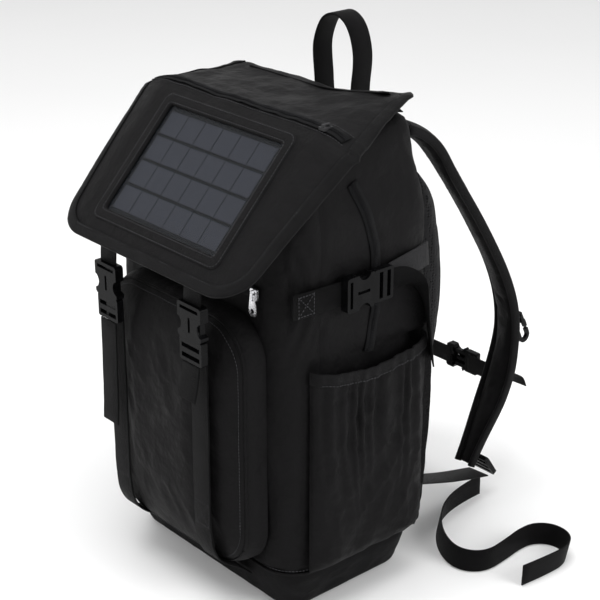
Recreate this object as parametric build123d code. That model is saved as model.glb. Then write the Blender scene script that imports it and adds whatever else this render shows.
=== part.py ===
from build123d import *
from math import cos, radians, sin, tan
import os

# Solar daypack, standing on its base. Millimetres, +Z up, the front faces -Y and the
# wearer's back faces +Y. The origin is on the floor, below the middle of the lid.

# ---- driving dimensions -------------------------------------------------------------
BAG_WIDTH = 270.0          # across the side panels, at the widest
BAG_FRONT = 96.0           # front panel, ahead of the origin
BAG_BACK = 84.0            # back panel, behind the origin
BAG_HEIGHT = 462.0         # top of the stuffed main compartment
CORNER_RADIUS = 38.0       # plan corners of the body
WALL = 4.0                 # padded body fabric
BASE_SEAM = 45.0           # height of the base boot's seam
BASE_INSET = 14.0          # how far the base draws in at the floor
SEAM_INSET = 4.0           # and at its seam
TOP_INSET = 9.0            # how far the body draws in at the top

LID_SLOPE = 46.7           # fall of the panel flap, degrees from level
LID_RIDGE_Y = -42.0        # where the lid turns down
LID_RIDGE_Z = BAG_HEIGHT + 16.0
LID_FLAP = 172.0           # ridge to lower edge, along the slope
LID_OVERHANG = 21.0        # how far the lid stands out past each side of the body
LID_WIDTH = BAG_WIDTH + 2 * LID_OVERHANG
LID_LOWER_TAPER = 22.0     # each side draws in this much at the lower edge
LID_CORNER = 34.0
LID_FABRIC = 2.4
LID_BINDING = 11.0         # width of the edge tape
LID_POCKET = 11.0          # depth of the pocket behind the panel
HINGE_HALF = BAG_WIDTH / 2 - 23.0   # half the length of the seam that holds the lid
LID_GAP = 1.2              # air between the lid's lining and the body

CELL_COLUMNS = 6
CELL_ROWS = 4
CELL_AREA_X = 166.0        # glazed window, across
CELL_AREA_Y = 118.0        # and along the slope
CELL_GAP = 1.2
CELL_BUS_GAP = 3.2         # wider gap between rows, where the bus ribbon runs
WINDOW_TOP = 21.0          # window's upper edge below the ridge

POCKET_TOP = BAG_HEIGHT - 150.0     # top seam of the front pocket
BOTTLE_TOP = BAG_HEIGHT - 200.0     # top edge of the side pockets

WEBBING = 25.0             # width of all the straps but the chest strap
WEBBING_THICK = 1.6
CHEST_WEBBING = 20.0
BUCKLE_WIDTH = WEBBING + 9.0
BUCKLE_DEPTH = 9.0
SOCKET_LENGTH = 34.0
FORK_LENGTH = 24.0
FORK_CLEAR = 0.4           # fork to socket, all round

FRONT_STRAP_X = BAG_WIDTH / 2 - 70.0  # front straps, each side of the centre
FRONT_BUCKLE_Z = POCKET_TOP - 16.0  # mouth of the front buckles' sockets
SIDE_BUCKLE_Y = -2.0       # mouth of the side buckles' sockets
SIDE_BUCKLE_Z = BOTTLE_TOP + 69.0

POCKET_HALF = BAG_WIDTH / 2 - 29.0  # front pocket, half its width
POCKET_BULGE = 44.0        # how far it stands ahead of the front panel
POCKET_WALL = 3.0
POCKET_CORNER = 46.0

BOTTLE_FRONT = -BAG_FRONT + 26.0
BOTTLE_BACK = BAG_BACK - 10.0
BOTTLE_BULGE = 15.0
BOTTLE_WALL = 2.0
HEM_HEIGHT = 12.0

STRAP_X = 82.0             # shoulder straps, each side of the centre
STRAP_WIDTH = 46.0
STRAP_THICK = 12.0
STRAP_DRAWN_TOP = 452.0    # the strap's curve is drawn for a seam this high, and scales with it
PAD_DEPTH = 20.0           # padded back
PAD_HALF = BAG_WIDTH / 2 - 31.0
PAD_BOTTOM = 150.0
PAD_TOP = BAG_HEIGHT - 37.0

HANDLE_HALF = 26.0         # carry loop, half its span
HANDLE_HEIGHT = 78.0
HANDLE_Y = BAG_BACK + 7.0
HANDLE_THICK = 2.2

ZIP_WIDTH = 12.0
FRONT_SLIDER_X = POCKET_HALF - 12.0   # where the front zip's slider is parked
LID_SLIDER_X = LID_WIDTH / 2 - 44.0
PULL_LENGTH = 21.0
PULL_PIVOT = 3.4           # the pull's bar, ahead of the zip's face

CHEST_Z = 130.0            # height of the chest strap
CHEST_BUCKLE_X = 22.0      # mouth of its socket
CHEST_BUCKLE_WIDTH = CHEST_WEBBING + 8.0
CHEST_BUCKLE_DEPTH = 7.6
CHEST_SOCKET = 27.0
CHEST_FORK = 18.0
SLIDER_X = 72.0            # chest strap's adjusters on the shoulder straps

LOCK_WIDTH = WEBBING + 7.0  # ladder locks at the straps' lower ends
LOCK_LENGTH = 28.0
LOCK_THICK = 5.0
LOCK_TILT = 56.0           # they hang this much below level
LOWER_WEB_Z = 84.0         # where the lower webbing leaves the body

HOOK_Z = 203.0             # height of the key hook's ring
HOOK_LENGTH = 40.0
HOOK_WIDTH = 16.0
HOOK_THICK = 4.0
HOOK_LEAN = 25.0           # the key hook leans out from the strap's curve

FRONT_TAIL_SHORT = 34.0    # loose ends of the front straps
FRONT_TAIL_LONG = 108.0
SIDE_TAIL_DROP = 124.0

TAIL_DIAMETER = WEBBING    # the loose tail is flat webbing, so this is its width
CLEAR = 0.4                # between separate pieces that lie on each other

FACE_UP = Rot(-90, 0, 0)   # turns a piece that faces the front so that it faces up

os.makedirs("parts", exist_ok=True)
NODES = {}


def keep(name, shape):
    """Record one named piece."""
    NODES[name] = shape
    return shape


def block(x0, x1, y0, y1, z0, z1):
    """A box between two corners."""
    centre = Pos((x0 + x1) / 2, (y0 + y1) / 2, (z0 + z1) / 2)
    return centre * Box(x1 - x0, y1 - y0, z1 - z0)


def mirrored(shape):
    """The same piece on the other side of the pack."""
    return mirror(shape, about=Plane.YZ)


def pair(name, shape):
    """A right-hand piece and its left-hand twin, each a node."""
    keep(name + "_right", shape)
    keep(name + "_left", mirrored(shape))


def twins(name, *shapes):
    """Small matching pieces of both sides, kept as one node of separate solids."""
    both = [piece for shape in shapes for piece in (shape, mirrored(shape))]
    keep(name, Compound(children=both))


def corner_radii(points, share=0.45):
    """The largest arc each corner of a route has room for."""
    radii = []
    for before, here, after in zip(points, points[1:], points[2:]):
        run_in = Vector(here) - Vector(before)
        run_out = Vector(after) - Vector(here)
        half_turn = radians(run_in.get_angle(run_out)) / 2
        radii.append(share * min(run_in.length, run_out.length) / tan(half_turn))
    return radii


def side_band(points, thickness, x0, x1):
    """A strip that follows a route in the side view and runs from x0 to x1."""
    flat = [(y, z, 0) for y, z in points]
    route = FilletPolyline(*flat, radius=corner_radii(flat)) if len(flat) > 2 else Line(*flat)
    outline = offset(route, thickness / 2, side=Side.BOTH)
    face = Plane.YZ.offset(x0) * make_face(outline)
    return extrude(face, x1 - x0, dir=(1, 0, 0))


# ---- the body -----------------------------------------------------------------------
def body_levels():
    """Height and inset of each section of the body."""
    return [
        (0.0, BASE_INSET),
        (BASE_SEAM, SEAM_INSET),
        (0.5 * BAG_HEIGHT, 0.0),
        (0.85 * BAG_HEIGHT, 2.0),
        (BAG_HEIGHT, TOP_INSET),
    ]


def body_section(height, inset):
    """Rounded plan of the body at one height."""
    width = BAG_WIDTH - 2 * inset
    depth = BAG_FRONT + BAG_BACK - 2 * inset
    plan = RectangleRounded(width, depth, CORNER_RADIUS - inset / 2)
    return Pos(0, (BAG_BACK - BAG_FRONT) / 2, height) * plan


def body_solid(extra_inset):
    """The stuffed body, drawn in by a wall where asked."""
    sections = [body_section(z, inset + extra_inset) for z, inset in body_levels()]
    return loft(sections, ruled=True)


def lid_plane():
    """Frame of the sloping flap: origin on the ridge, y up the slope, z outwards."""
    tilt = radians(LID_SLOPE)
    outward = (0, -sin(tilt), cos(tilt))
    return Plane(origin=(0, LID_RIDGE_Y, LID_RIDGE_Z), x_dir=(1, 0, 0), z_dir=outward)


def below_lid(drop):
    """Everything under the lid's lining, less a further drop."""
    depth = LID_FABRIC + LID_POCKET + LID_GAP + drop
    far = BAG_WIDTH
    tilt = radians(LID_SLOPE)
    top = BAG_HEIGHT - drop
    knee_y = LID_RIDGE_Y + depth * sin(tilt)
    knee_z = LID_RIDGE_Z - depth * cos(tilt)
    top_y = knee_y - (knee_z - top) / tan(tilt)
    low_y = -BAG_FRONT - far
    low_z = top - (top_y - low_y) * tan(tilt)
    corners = [(top_y, top), (far, top), (far, -far), (low_y, -far), (low_y, low_z)]
    face = Plane.YZ.offset(-far) * make_face(Polyline(*corners, close=True))
    return extrude(face, 2 * far, dir=(1, 0, 0))


def build_body():
    """Base boot, the body panels and the cover that closes the mouth."""
    outside = body_solid(0.0)
    inside = body_solid(WALL)
    floor_slab = block(-BAG_WIDTH, BAG_WIDTH, -BAG_WIDTH, BAG_WIDTH, -1, WALL)
    walls = (outside - (inside - floor_slab)) & below_lid(WALL)
    keep("top_cover", outside & (below_lid(0.0) - below_lid(WALL)))
    far = BAG_WIDTH
    top = BAG_HEIGHT + 10
    keep("base_boot", walls & block(-far, far, -far, far, -1, BASE_SEAM))
    upper = walls & block(-far, far, -far, far, BASE_SEAM, top)
    flat_half = BAG_WIDTH / 2 - CORNER_RADIUS
    front_turn = -BAG_FRONT + CORNER_RADIUS + SEAM_INSET
    keep("front_panel", upper & block(-flat_half, flat_half, -far, 0, 0, top))
    twins("corner_panels", upper & block(flat_half, far, -far, front_turn, 0, top))
    keep("back_panel", upper & block(-flat_half, flat_half, 0, far, 0, top))
    side = upper & block(flat_half, far, front_turn, far, 0, top)
    pair("side_panel", side)


def rounded_upright(half_width, low, high, radius, y):
    """A rounded rectangle standing in the front view at a given y."""
    plane = Plane(origin=(0, y, (low + high) / 2), x_dir=(1, 0, 0), z_dir=(0, -1, 0))
    return plane * RectangleRounded(2 * half_width, high - low, radius)


def pocket_loft(wall):
    """Crowned body of the front pocket, drawn in by its wall."""
    back = -BAG_FRONT - CLEAR
    low = BASE_SEAM + 2 + wall
    high = POCKET_TOP - wall
    half = POCKET_HALF - wall
    crown = [(0.0, 0.0), (0.62, 7.0), (1.0, 44.0)]
    sections = []
    for share, inset in crown:
        y = back - share * (POCKET_BULGE - wall)
        radius = POCKET_CORNER + inset / 4
        sections.append(rounded_upright(half - inset, low + inset, high - inset, radius, y))
    return loft(sections, ruled=True)


def build_front_pocket():
    """The bulging front pocket, open at its back, where the front panel closes it."""
    hollow = pocket_loft(POCKET_WALL)
    keep("front_pocket", pocket_loft(0.0) - hollow)


def bottle_loft(wall):
    """Bowed fabric of one side pocket."""
    base = BAG_WIDTH / 2 + CLEAR
    crown = [(0.0, 0.0), (0.7, 4.0), (1.0, 22.0)]
    corner = 24.0
    cut_above = 40.0
    low, high = BASE_SEAM + 3 + wall, BOTTLE_TOP + cut_above
    middle_y, middle_z = (BOTTLE_FRONT + BOTTLE_BACK) / 2, (low + high) / 2
    sections = []
    for share, inset in crown:
        x = base + share * (BOTTLE_BULGE - wall)
        plane = Plane(origin=(x, middle_y, middle_z), x_dir=(0, 1, 0), z_dir=(1, 0, 0))
        width = BOTTLE_BACK - BOTTLE_FRONT - 2 * wall - 2 * inset
        sections.append(plane * RectangleRounded(width, high - low - 2 * inset, corner))
    return loft(sections, ruled=True)


def build_side_pockets():
    """Bottle pockets with an elastic hem, open at the top."""
    skin = bottle_loft(0.0) - bottle_loft(BOTTLE_WALL)
    far = BAG_WIDTH
    seam = BOTTLE_TOP - HEM_HEIGHT
    pair("side_pocket", skin & block(0, far, -far, far, 0, seam))
    twins("side_pocket_hems", skin & block(0, far, -far, far, seam, BOTTLE_TOP))


# ---- the lid ------------------------------------------------------------------------
def flap_outline(inset):
    """Outline of the sloping flap in its own plane."""
    half_top = LID_WIDTH / 2 - inset
    half_low = LID_WIDTH / 2 - LID_LOWER_TAPER - inset
    low = -LID_FLAP + inset
    shape = make_face(
        Polyline((-half_top, 0), (half_top, 0), (half_low, low), (-half_low, low), close=True)
    )
    corners = shape.vertices().filter_by(lambda v: v.Y < low / 2)
    return fillet(corners, LID_CORNER - inset)


def on_flap(shape, depth):
    """Lay a flat shape on the flap, this deep below its outer face."""
    return lid_plane() * Pos(0, 0, -depth) * shape


def slab_on_flap(shape, depth, thickness):
    """A plate whose outer face is this deep below the flap's outer face."""
    return lid_plane() * Pos(0, 0, -depth - thickness) * extrude(shape, thickness, dir=(0, 0, 1))


def window_rectangle(margin):
    """The glazed window, grown by a margin all round."""
    centre = -WINDOW_TOP - CELL_AREA_Y / 2
    return Pos(0, centre) * Rectangle(CELL_AREA_X + 2 * margin, CELL_AREA_Y + 2 * margin)


def build_flap():
    """Cover, edge tape, window border, lining and the panel inside them."""
    tape = LID_FABRIC + 2.4
    keep("lid_cover", slab_on_flap(flap_outline(LID_BINDING) - window_rectangle(0), 0, LID_FABRIC))
    ring = flap_outline(0) - flap_outline(LID_BINDING)
    keep("lid_binding", slab_on_flap(ring, -0.8, tape))
    border = window_rectangle(12) - window_rectangle(0)
    keep("window_border", slab_on_flap(border, -1.4, 1.4))
    film_depth = LID_FABRIC
    keep("panel_window", slab_on_flap(window_rectangle(5), film_depth, 0.6))
    cell_depth = film_depth + 0.6
    keep("solar_cells", slab_on_flap(cell_grid(), cell_depth, 0.4))
    board_depth = cell_depth + 0.4
    board_thick = 2.4
    keep("panel_board", slab_on_flap(window_rectangle(8), board_depth, board_thick))
    box_depth = board_depth + board_thick
    box_thick = LID_FABRIC + LID_POCKET - box_depth - 1.6
    middle = -WINDOW_TOP - CELL_AREA_Y / 2
    case = slab_on_flap(Pos(0, middle) * RectangleRounded(62, 34, 4), box_depth, box_thick)
    socket = slab_on_flap(Pos(26, middle) * Rectangle(12, 13), box_depth + 1.2, 4.6 - 1.2)
    keep("charge_box", case - socket)
    build_lining()


def cell_grid():
    """Rows of cells with a gap between neighbours."""
    width = (CELL_AREA_X - (CELL_COLUMNS - 1) * CELL_GAP) / CELL_COLUMNS
    height = (CELL_AREA_Y - (CELL_ROWS - 1) * CELL_BUS_GAP) / CELL_ROWS
    grid = Sketch()
    for column in range(CELL_COLUMNS):
        for row in range(CELL_ROWS):
            x = -CELL_AREA_X / 2 + width / 2 + column * (width + CELL_GAP)
            y = -WINDOW_TOP - height / 2 - row * (height + CELL_BUS_GAP)
            grid += Pos(x, y) * Rectangle(width - 0.4, height - 0.4)
    return grid


def build_lining():
    """Dished lining that closes the flap's pocket from below."""
    skin = 1.2
    rim = LID_FABRIC + 2.4 - 0.8

    def dish(depth, inset):
        outer = on_flap(flap_outline(LID_BINDING + 1 + inset), rim)
        inner = on_flap(flap_outline(LID_BINDING + 14 + inset), LID_FABRIC + LID_POCKET - depth)
        return loft([outer, inner], ruled=True)

    keep("lid_lining", dish(0.0, 0.0) - dish(skin, skin))


def build_lid_top():
    """Level part of the lid, from the hinge seam to the ridge, and the zip on the ridge."""
    thick = LID_FABRIC + 0.6
    back = hinge_line()[0] - 6.0
    front = LID_RIDGE_Y + 5.0
    level = LID_RIDGE_Z - 1.5
    tape_top = level - 2.2
    keep("hinge_tape", block(-HINGE_HALF, HINGE_HALF, back + 1.0, back + 9.0, BAG_HEIGHT + CLEAR, tape_top))
    half_front = LID_WIDTH / 2 - LID_BINDING
    half_back = BAG_WIDTH / 2 - LID_BINDING - 9
    corners = [(-half_front, front), (half_front, front), (half_back, back), (-half_back, back)]
    plan = make_face(Polyline(*corners, close=True))
    keep("lid_top", extrude(Pos(0, 0, level - thick) * plan, thick, dir=(0, 0, 1)))
    outer_front, outer_back = half_front + LID_BINDING, half_back + LID_BINDING
    strip = [(half_front, front), (outer_front, front), (outer_back, back), (half_back, back)]
    edge = make_face(Polyline(*strip, close=True))
    tape = extrude(Pos(0, 0, level - thick - 0.8) * edge, thick + 1.6, dir=(0, 0, 1))
    twins("lid_edge_tapes", tape)
    tape_half = half_front - 5.0
    keep("lid_zip", block(-tape_half, tape_half, front, front + ZIP_WIDTH, level, level + 1.4))
    slider = slider_shape(FACE_UP)
    keep("lid_zip_slider", Pos(LID_SLIDER_X, front + ZIP_WIDTH / 2, level + 1.4 + CLEAR) * slider)


def hinge_line():
    """Where the lid is sewn to the top of the back: y and z."""
    return (BAG_BACK - TOP_INSET - 7.0, BAG_HEIGHT + 8.0)


# ---- buckles and webbing ------------------------------------------------------------
def socket_shape(width, depth, length):
    """Female half of a side-release buckle: mouth at y=0, strap bar at +y, back at z=0."""
    half = width / 2
    wall = 2.0
    cheek = 3.4
    throat = length - 9.0
    body = block(-half, half, 0, length, 0, depth)
    body = fillet(body.edges().filter_by(Axis.Z), 3.0)
    cavity = block(-half + cheek, half - cheek, -1, throat, -1, depth - wall)
    strap_slot = block(-half + 4, half - 4, throat + 2.4, throat + 5.6, -1, depth + 1)
    view_slot = Pos(0, throat * 0.55, depth) * Box(3, throat * 0.6, 3 * wall)
    thumb = Pos(half + 2, throat * 0.5, depth / 2) * Cylinder(7.5, depth + 2)
    thumb_twin = mirror(thumb, about=Plane.YZ)
    return body - cavity - strap_slot - view_slot - thumb - thumb_twin


def fork_shape(width, depth, length):
    """Male half: two prongs up into the socket, two strap bars below."""
    half = width / 2
    cheek = 3.4
    wall = 2.0
    low, high = 0.8, depth - wall - FORK_CLEAR
    reach = half - cheek - FORK_CLEAR
    plate = block(-half + 1, half - 1, -length, -FORK_CLEAR, low, depth - 1)
    plate = fillet(plate.edges().filter_by(Axis.Z), 2.0)
    for centre in (-length * 0.76, -length * 0.36):
        plate -= block(-half + 4, half - 4, centre - 2.2, centre + 2.2, -1, depth + 1)
    prong_top = 19.0 * length / 24.0
    prong = block(reach - 4.4, reach, -1, prong_top, low, high)
    prong = fillet(prong.edges().filter_by(Axis.Z), 1.4)
    guide = block(-1.8, 1.8, -1, prong_top - 2, low, high)
    return plate + prong + mirror(prong, about=Plane.YZ) + guide


def front_buckle_plane():
    """Frame of the right front buckle: y up, z ahead, back on the strap."""
    y = -BAG_FRONT - POCKET_BULGE - 3.0
    return Plane(origin=(FRONT_STRAP_X, y, FRONT_BUCKLE_Z), x_dir=(1, 0, 0), z_dir=(0, -1, 0))


def side_buckle_plane():
    """Frame of the right side buckle: y towards the front, z out to the side."""
    x = BAG_WIDTH / 2 + 4.5
    return Plane(origin=(x, SIDE_BUCKLE_Y, SIDE_BUCKLE_Z), x_dir=(0, 0, 1), z_dir=(1, 0, 0))


def build_front_straps():
    """Straps that hold the lid down: webbing, fork, socket and hanger on each side."""
    plane = front_buckle_plane()
    pair("front_buckle_socket", plane * socket_shape(BUCKLE_WIDTH, BUCKLE_DEPTH, SOCKET_LENGTH))
    pair("front_buckle_fork", plane * fork_shape(BUCKLE_WIDTH, BUCKLE_DEPTH, FORK_LENGTH))
    x0, x1 = FRONT_STRAP_X - WEBBING / 2, FRONT_STRAP_X + WEBBING / 2
    strap_y = plane.origin.Y + 1.2
    low = BASE_SEAM
    route = [
        (strap_y, FRONT_BUCKLE_Z - 4.0),
        (strap_y, low + 50.0),
        (strap_y + 15.0, low + 3.0),
        (-BAG_FRONT + SEAM_INSET - 4.0, low - 12.0),
    ]
    pair("front_strap", side_band(route, WEBBING_THICK, x0, x1))
    tail_y = plane.origin.Y - BUCKLE_DEPTH + 2.0
    tail_top = FRONT_BUCKLE_Z - FORK_LENGTH - 1.0
    short = block(x0, x1, tail_y - WEBBING_THICK, tail_y, tail_top - FRONT_TAIL_SHORT, tail_top)
    long = block(x0, x1, tail_y - WEBBING_THICK, tail_y, tail_top - FRONT_TAIL_LONG, tail_top)
    keep("front_strap_tail_right", short)
    keep("front_strap_tail_left", mirrored(long))
    hang_y = plane.origin.Y - BUCKLE_DEPTH / 2
    tilt = radians(LID_SLOPE)
    depth = LID_FABRIC + 5.0
    reach = (LID_RIDGE_Y + depth * sin(tilt)) - hang_y
    lid_z = LID_RIDGE_Z - depth * cos(tilt) - reach * tan(tilt)
    low_z = FRONT_BUCKLE_Z + SOCKET_LENGTH + CLEAR
    twins("front_buckle_hangers", block(x0, x1, hang_y - 0.8, hang_y + 0.8, low_z, lid_z - 3.0))


def build_side_straps():
    """Compression straps across each side zip."""
    plane = side_buckle_plane()
    pair("side_buckle_socket", plane * socket_shape(BUCKLE_WIDTH, BUCKLE_DEPTH, SOCKET_LENGTH))
    pair("side_buckle_fork", plane * fork_shape(BUCKLE_WIDTH, BUCKLE_DEPTH, FORK_LENGTH))
    half = WEBBING / 2
    inner = BAG_WIDTH / 2 + 2.0
    outer = inner + WEBBING_THICK
    front_end = -BAG_FRONT + CORNER_RADIUS - 22.0
    low, high = SIDE_BUCKLE_Z - half, SIDE_BUCKLE_Z + half
    front = block(inner, outer, front_end, SIDE_BUCKLE_Y - SOCKET_LENGTH + 6.0, low, high)
    start = SIDE_BUCKLE_Y + 6.0
    rise = 9.0
    end = BAG_BACK - 3.0
    edge = Polyline(
        (start, SIDE_BUCKLE_Z - half),
        (start, SIDE_BUCKLE_Z + half),
        (end, SIDE_BUCKLE_Z + half + rise),
        (end, SIDE_BUCKLE_Z - half + rise),
        close=True,
    )
    band = extrude(Plane.YZ.offset(inner) * make_face(edge), WEBBING_THICK, dir=(1, 0, 0))
    twins("side_straps", front, band)
    tail_y = SIDE_BUCKLE_Y + FORK_LENGTH + 3.0
    drop = [
        (tail_y, SIDE_BUCKLE_Z + 3.0),
        (tail_y + 30.0, SIDE_BUCKLE_Z - 2.0),
        (tail_y + 57.0, SIDE_BUCKLE_Z - 44.0),
        (tail_y + 62.0, SIDE_BUCKLE_Z - SIDE_TAIL_DROP),
    ]
    tail_x = outer + 1.2
    pair("side_strap_tail", side_band(drop, WEBBING_THICK, tail_x, tail_x + WEBBING))


# ---- zips ---------------------------------------------------------------------------
def build_zips():
    """Curved side zips of the main compartment and the straight front zip."""
    inner = BAG_WIDTH / 2 + CLEAR
    top = BAG_HEIGHT - 38.0
    route = [
        (-16.0, top),
        (1.0, top - 32.0),
        (12.0, top - 76.0),
        (11.0, BOTTLE_TOP + 43.0),
        (3.0, BOTTLE_TOP + 6.0),
    ]
    twins("side_zips", side_band(route, ZIP_WIDTH, inner, inner + 1.4))
    y = -BAG_FRONT - CLEAR
    z = POCKET_TOP + PULL_LENGTH + 1.5
    half = POCKET_HALF - 6.0
    tape = 1.6
    keep("front_zip", block(-half, half, y - tape, y, z - ZIP_WIDTH / 2, z + ZIP_WIDTH / 2))
    face = y - tape - CLEAR
    keep("front_zip_slider", slider_shape(Pos(FRONT_SLIDER_X, face, z)))
    keep("front_zip_pull", pull_shape(Pos(FRONT_SLIDER_X, face - PULL_PIVOT, z)))


def slider_shape(place):
    """A zip slider: a low body with a bridge that carries the pull."""
    body_top = 2.6
    bar_room = 0.8
    body = block(-4.5, 4.5, -body_top, 0, -5.5, 5.5)
    body = fillet(body.edges().filter_by(Axis.Y), 1.6)
    bridge_top = PULL_PIVOT + bar_room + 1.1
    bridge = block(-1.2, 1.2, -bridge_top, 0.2 - body_top, -4.4, 4.4)
    bridge -= block(-2, 2, -PULL_PIVOT - bar_room, bar_room - PULL_PIVOT, -3.2, 3.2)
    return place * (body + bridge)


def pull_shape(place):
    """A flat metal pull that turns on the slider's bridge, with a round eye at its foot."""
    half_bar = 0.5
    widest = 8 - PULL_LENGTH
    right = [(3.0, half_bar), (4.8, widest), (4.8, -PULL_LENGTH)]
    left = [(-x, y) for x, y in reversed(right)]
    plate = make_face(Polyline(*right, *left, close=True))
    plate = fillet(plate.vertices().filter_by(lambda v: v.Y < -PULL_LENGTH / 2), 3.6)
    plate -= Pos(0, -PULL_LENGTH + 5.2) * Circle(2.3)
    slot_length = 5.2
    plate -= Pos(0, -half_bar - slot_length / 2) * Rectangle(3.8, slot_length)
    return place * extrude(Plane.XZ * plate, half_bar, both=True)


# ---- the back, straps and handle ----------------------------------------------------
def build_back():
    """Padded back and the two shoulder straps."""
    base = BAG_BACK + CLEAR
    pads = []
    for share, inset in ((0.0, 0.0), (0.6, 5.0), (1.0, 22.0)):
        y = base + share * PAD_DEPTH
        pads.append(rounded_upright(PAD_HALF - inset, PAD_BOTTOM + inset, PAD_TOP - inset, 34, y))
    keep("back_pad", loft(pads, ruled=True))
    x0, x1 = STRAP_X - STRAP_WIDTH / 2, STRAP_X + STRAP_WIDTH / 2
    pair("shoulder_strap", side_band(strap_route(), STRAP_THICK, x0, x1))
    keep("handle", handle_shape())


def strap_outer_y(height):
    """Outer face of a shoulder strap at a height on its lower half."""
    route = strap_route()
    for (y0, z0), (y1, z1) in zip(route, route[1:]):
        if z1 <= height <= z0:
            share = (z0 - height) / (z0 - z1)
            lean = Vector(y1 - y0, z1 - z0)
            return y0 + share * (y1 - y0) + STRAP_THICK / 2 * lean.length / abs(lean.Y)
    raise ValueError("height is off the strap")


def chest_face():
    """How far back the chest strap's webbing lies."""
    return strap_outer_y(CHEST_Z + CHEST_WEBBING / 2) + 1.4


def chest_plane():
    """Frame of the chest buckle: y towards the left strap, z away from the pack."""
    y = chest_face() + WEBBING_THICK + CLEAR
    return Plane(origin=(CHEST_BUCKLE_X, y, CHEST_Z), x_dir=(0, 0, -1), z_dir=(0, 1, 0))


def build_chest_strap():
    """Chest strap between the shoulder straps, with its buckle and two adjusters."""
    plane = chest_plane()
    keep("chest_buckle_socket", plane * socket_shape(CHEST_BUCKLE_WIDTH, CHEST_BUCKLE_DEPTH, CHEST_SOCKET))
    keep("chest_buckle_fork", plane * fork_shape(CHEST_BUCKLE_WIDTH, CHEST_BUCKLE_DEPTH, CHEST_FORK))
    y = chest_face()
    half = CHEST_WEBBING / 2
    low, high = CHEST_Z - half, CHEST_Z + half
    end = SLIDER_X + 8.0
    left = block(-end, CHEST_BUCKLE_X - CHEST_SOCKET + 6.0, y, y + WEBBING_THICK, low, high)
    right = block(CHEST_BUCKLE_X + 5.0, end, y, y + WEBBING_THICK, low, high)
    tail_y = y + WEBBING_THICK + 6.8
    drop = [(tail_y, CHEST_Z + 1.0), (tail_y + 15.0, CHEST_Z - 3.0), (tail_y + 29.0, CHEST_Z - 19.0)]
    tail = side_band(drop, WEBBING_THICK, SLIDER_X - half, SLIDER_X + half)
    keep("chest_webbing", Compound(children=[left, right, tail]))
    frame = Box(16, 3.4, CHEST_WEBBING + 7)
    for side in (-1, 1):
        frame -= Pos(4.2 * side, 0, 0) * Box(3.2, 5, CHEST_WEBBING + 1.4)
    twins("chest_adjusters", Pos(SLIDER_X, y + WEBBING_THICK + CLEAR + 1.7, CHEST_Z) * frame)


def lock_plane():
    """Frame of the right ladder lock: y down its length, z away from the pack."""
    tilt = radians(LOCK_TILT)
    last_y, last_z = strap_route()[-1]
    return Plane(
        origin=(STRAP_X + 3.0, last_y + 1.5 * STRAP_THICK + 5.0, last_z + 1.0 - STRAP_THICK / 2),
        x_dir=(1, 0, 0),
        z_dir=(0, sin(tilt), cos(tilt)),
    )


def build_lower_ends():
    """Ladder locks under the shoulder straps, and the webbing that ties them to the body."""
    plane = lock_plane()
    lock = Box(LOCK_WIDTH, LOCK_LENGTH, LOCK_THICK)
    lock = fillet(lock.edges().filter_by(Axis.Z), 3.0)
    for share in (-0.3, 0.02, 0.3):
        lock -= Pos(0, share * LOCK_LENGTH, 0) * Box(WEBBING + 1.6, 4.6, LOCK_THICK + 2)
    pair("ladder_lock", plane * lock)
    top_bar = plane.from_local_coords((0, -LOCK_LENGTH / 2 - 1.2, 0))
    loop_z = top_bar.Z + 1.0
    x0, x1 = STRAP_X - WEBBING / 2, STRAP_X + WEBBING / 2
    loop_y = strap_outer_y(loop_z + WEBBING_THICK) + CLEAR
    loop = block(x0, x1, loop_y, top_bar.Y + 3.0, loop_z, loop_z + WEBBING_THICK)
    start = Vector(BAG_WIDTH / 2 - 20.0, BAG_BACK + 1.0, LOWER_WEB_Z)
    end = plane.from_local_coords((-1.0, 10.0, -LOCK_THICK / 2 - 6.0))
    along = end - start
    middle = start + along * 0.5
    across = Vector(0, 0, 1).cross(along).normalized()
    run = Plane(origin=middle, x_dir=along, z_dir=along.cross(across) * -1)
    twins("strap_end_loops", loop)
    twins("lower_webbing", run * Box(along.length, WEBBING, WEBBING_THICK))


def build_hook():
    """Key hook that hangs from a webbing tab on the right shoulder strap."""
    pivot_z = HOOK_Z
    face = strap_outer_y(pivot_z) + 1.2
    pivot_y = face + 5.4
    ring = Pos(0, pivot_y, pivot_z) * Rot(0, 90, 0) * (Cylinder(4.2, 10) - Cylinder(2.5, 12))
    tab = block(-5, 5, face, face + 1.5, pivot_z - 14, pivot_z)
    keep("hook_tab", Pos(STRAP_X, 0, 0) * (ring + tab))
    bar = Rot(0, 90, 0) * Cylinder(2.0, 16)
    cheek = block(6.0, 8.0, -2.0, 2.0, -9.0, 0.0)
    cross_bar = block(-8.0, 8.0, -2.0, 2.0, -10.0, -6.6)
    length = HOOK_LENGTH - 8.0
    eye = SlotOverall(length, HOOK_WIDTH) - SlotOverall(length - 2 * HOOK_THICK, HOOK_WIDTH - 2 * HOOK_THICK)
    loop = extrude(Plane.YZ * Rot(0, 0, 90) * eye, HOOK_THICK / 2, both=True)
    gate = block(-HOOK_THICK, HOOK_THICK, HOOK_WIDTH / 2 - HOOK_THICK - 1, HOOK_WIDTH / 2 + 1, -2.0, 1.0)
    hook = bar + cheek + mirror(cheek, about=Plane.YZ) + cross_bar
    hook += Pos(0, 0, -8.0 - length / 2) * (loop - gate)
    keep("snap_hook", Pos(STRAP_X, pivot_y, pivot_z) * Rot(HOOK_LEAN, 0, 0) * hook)


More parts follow.
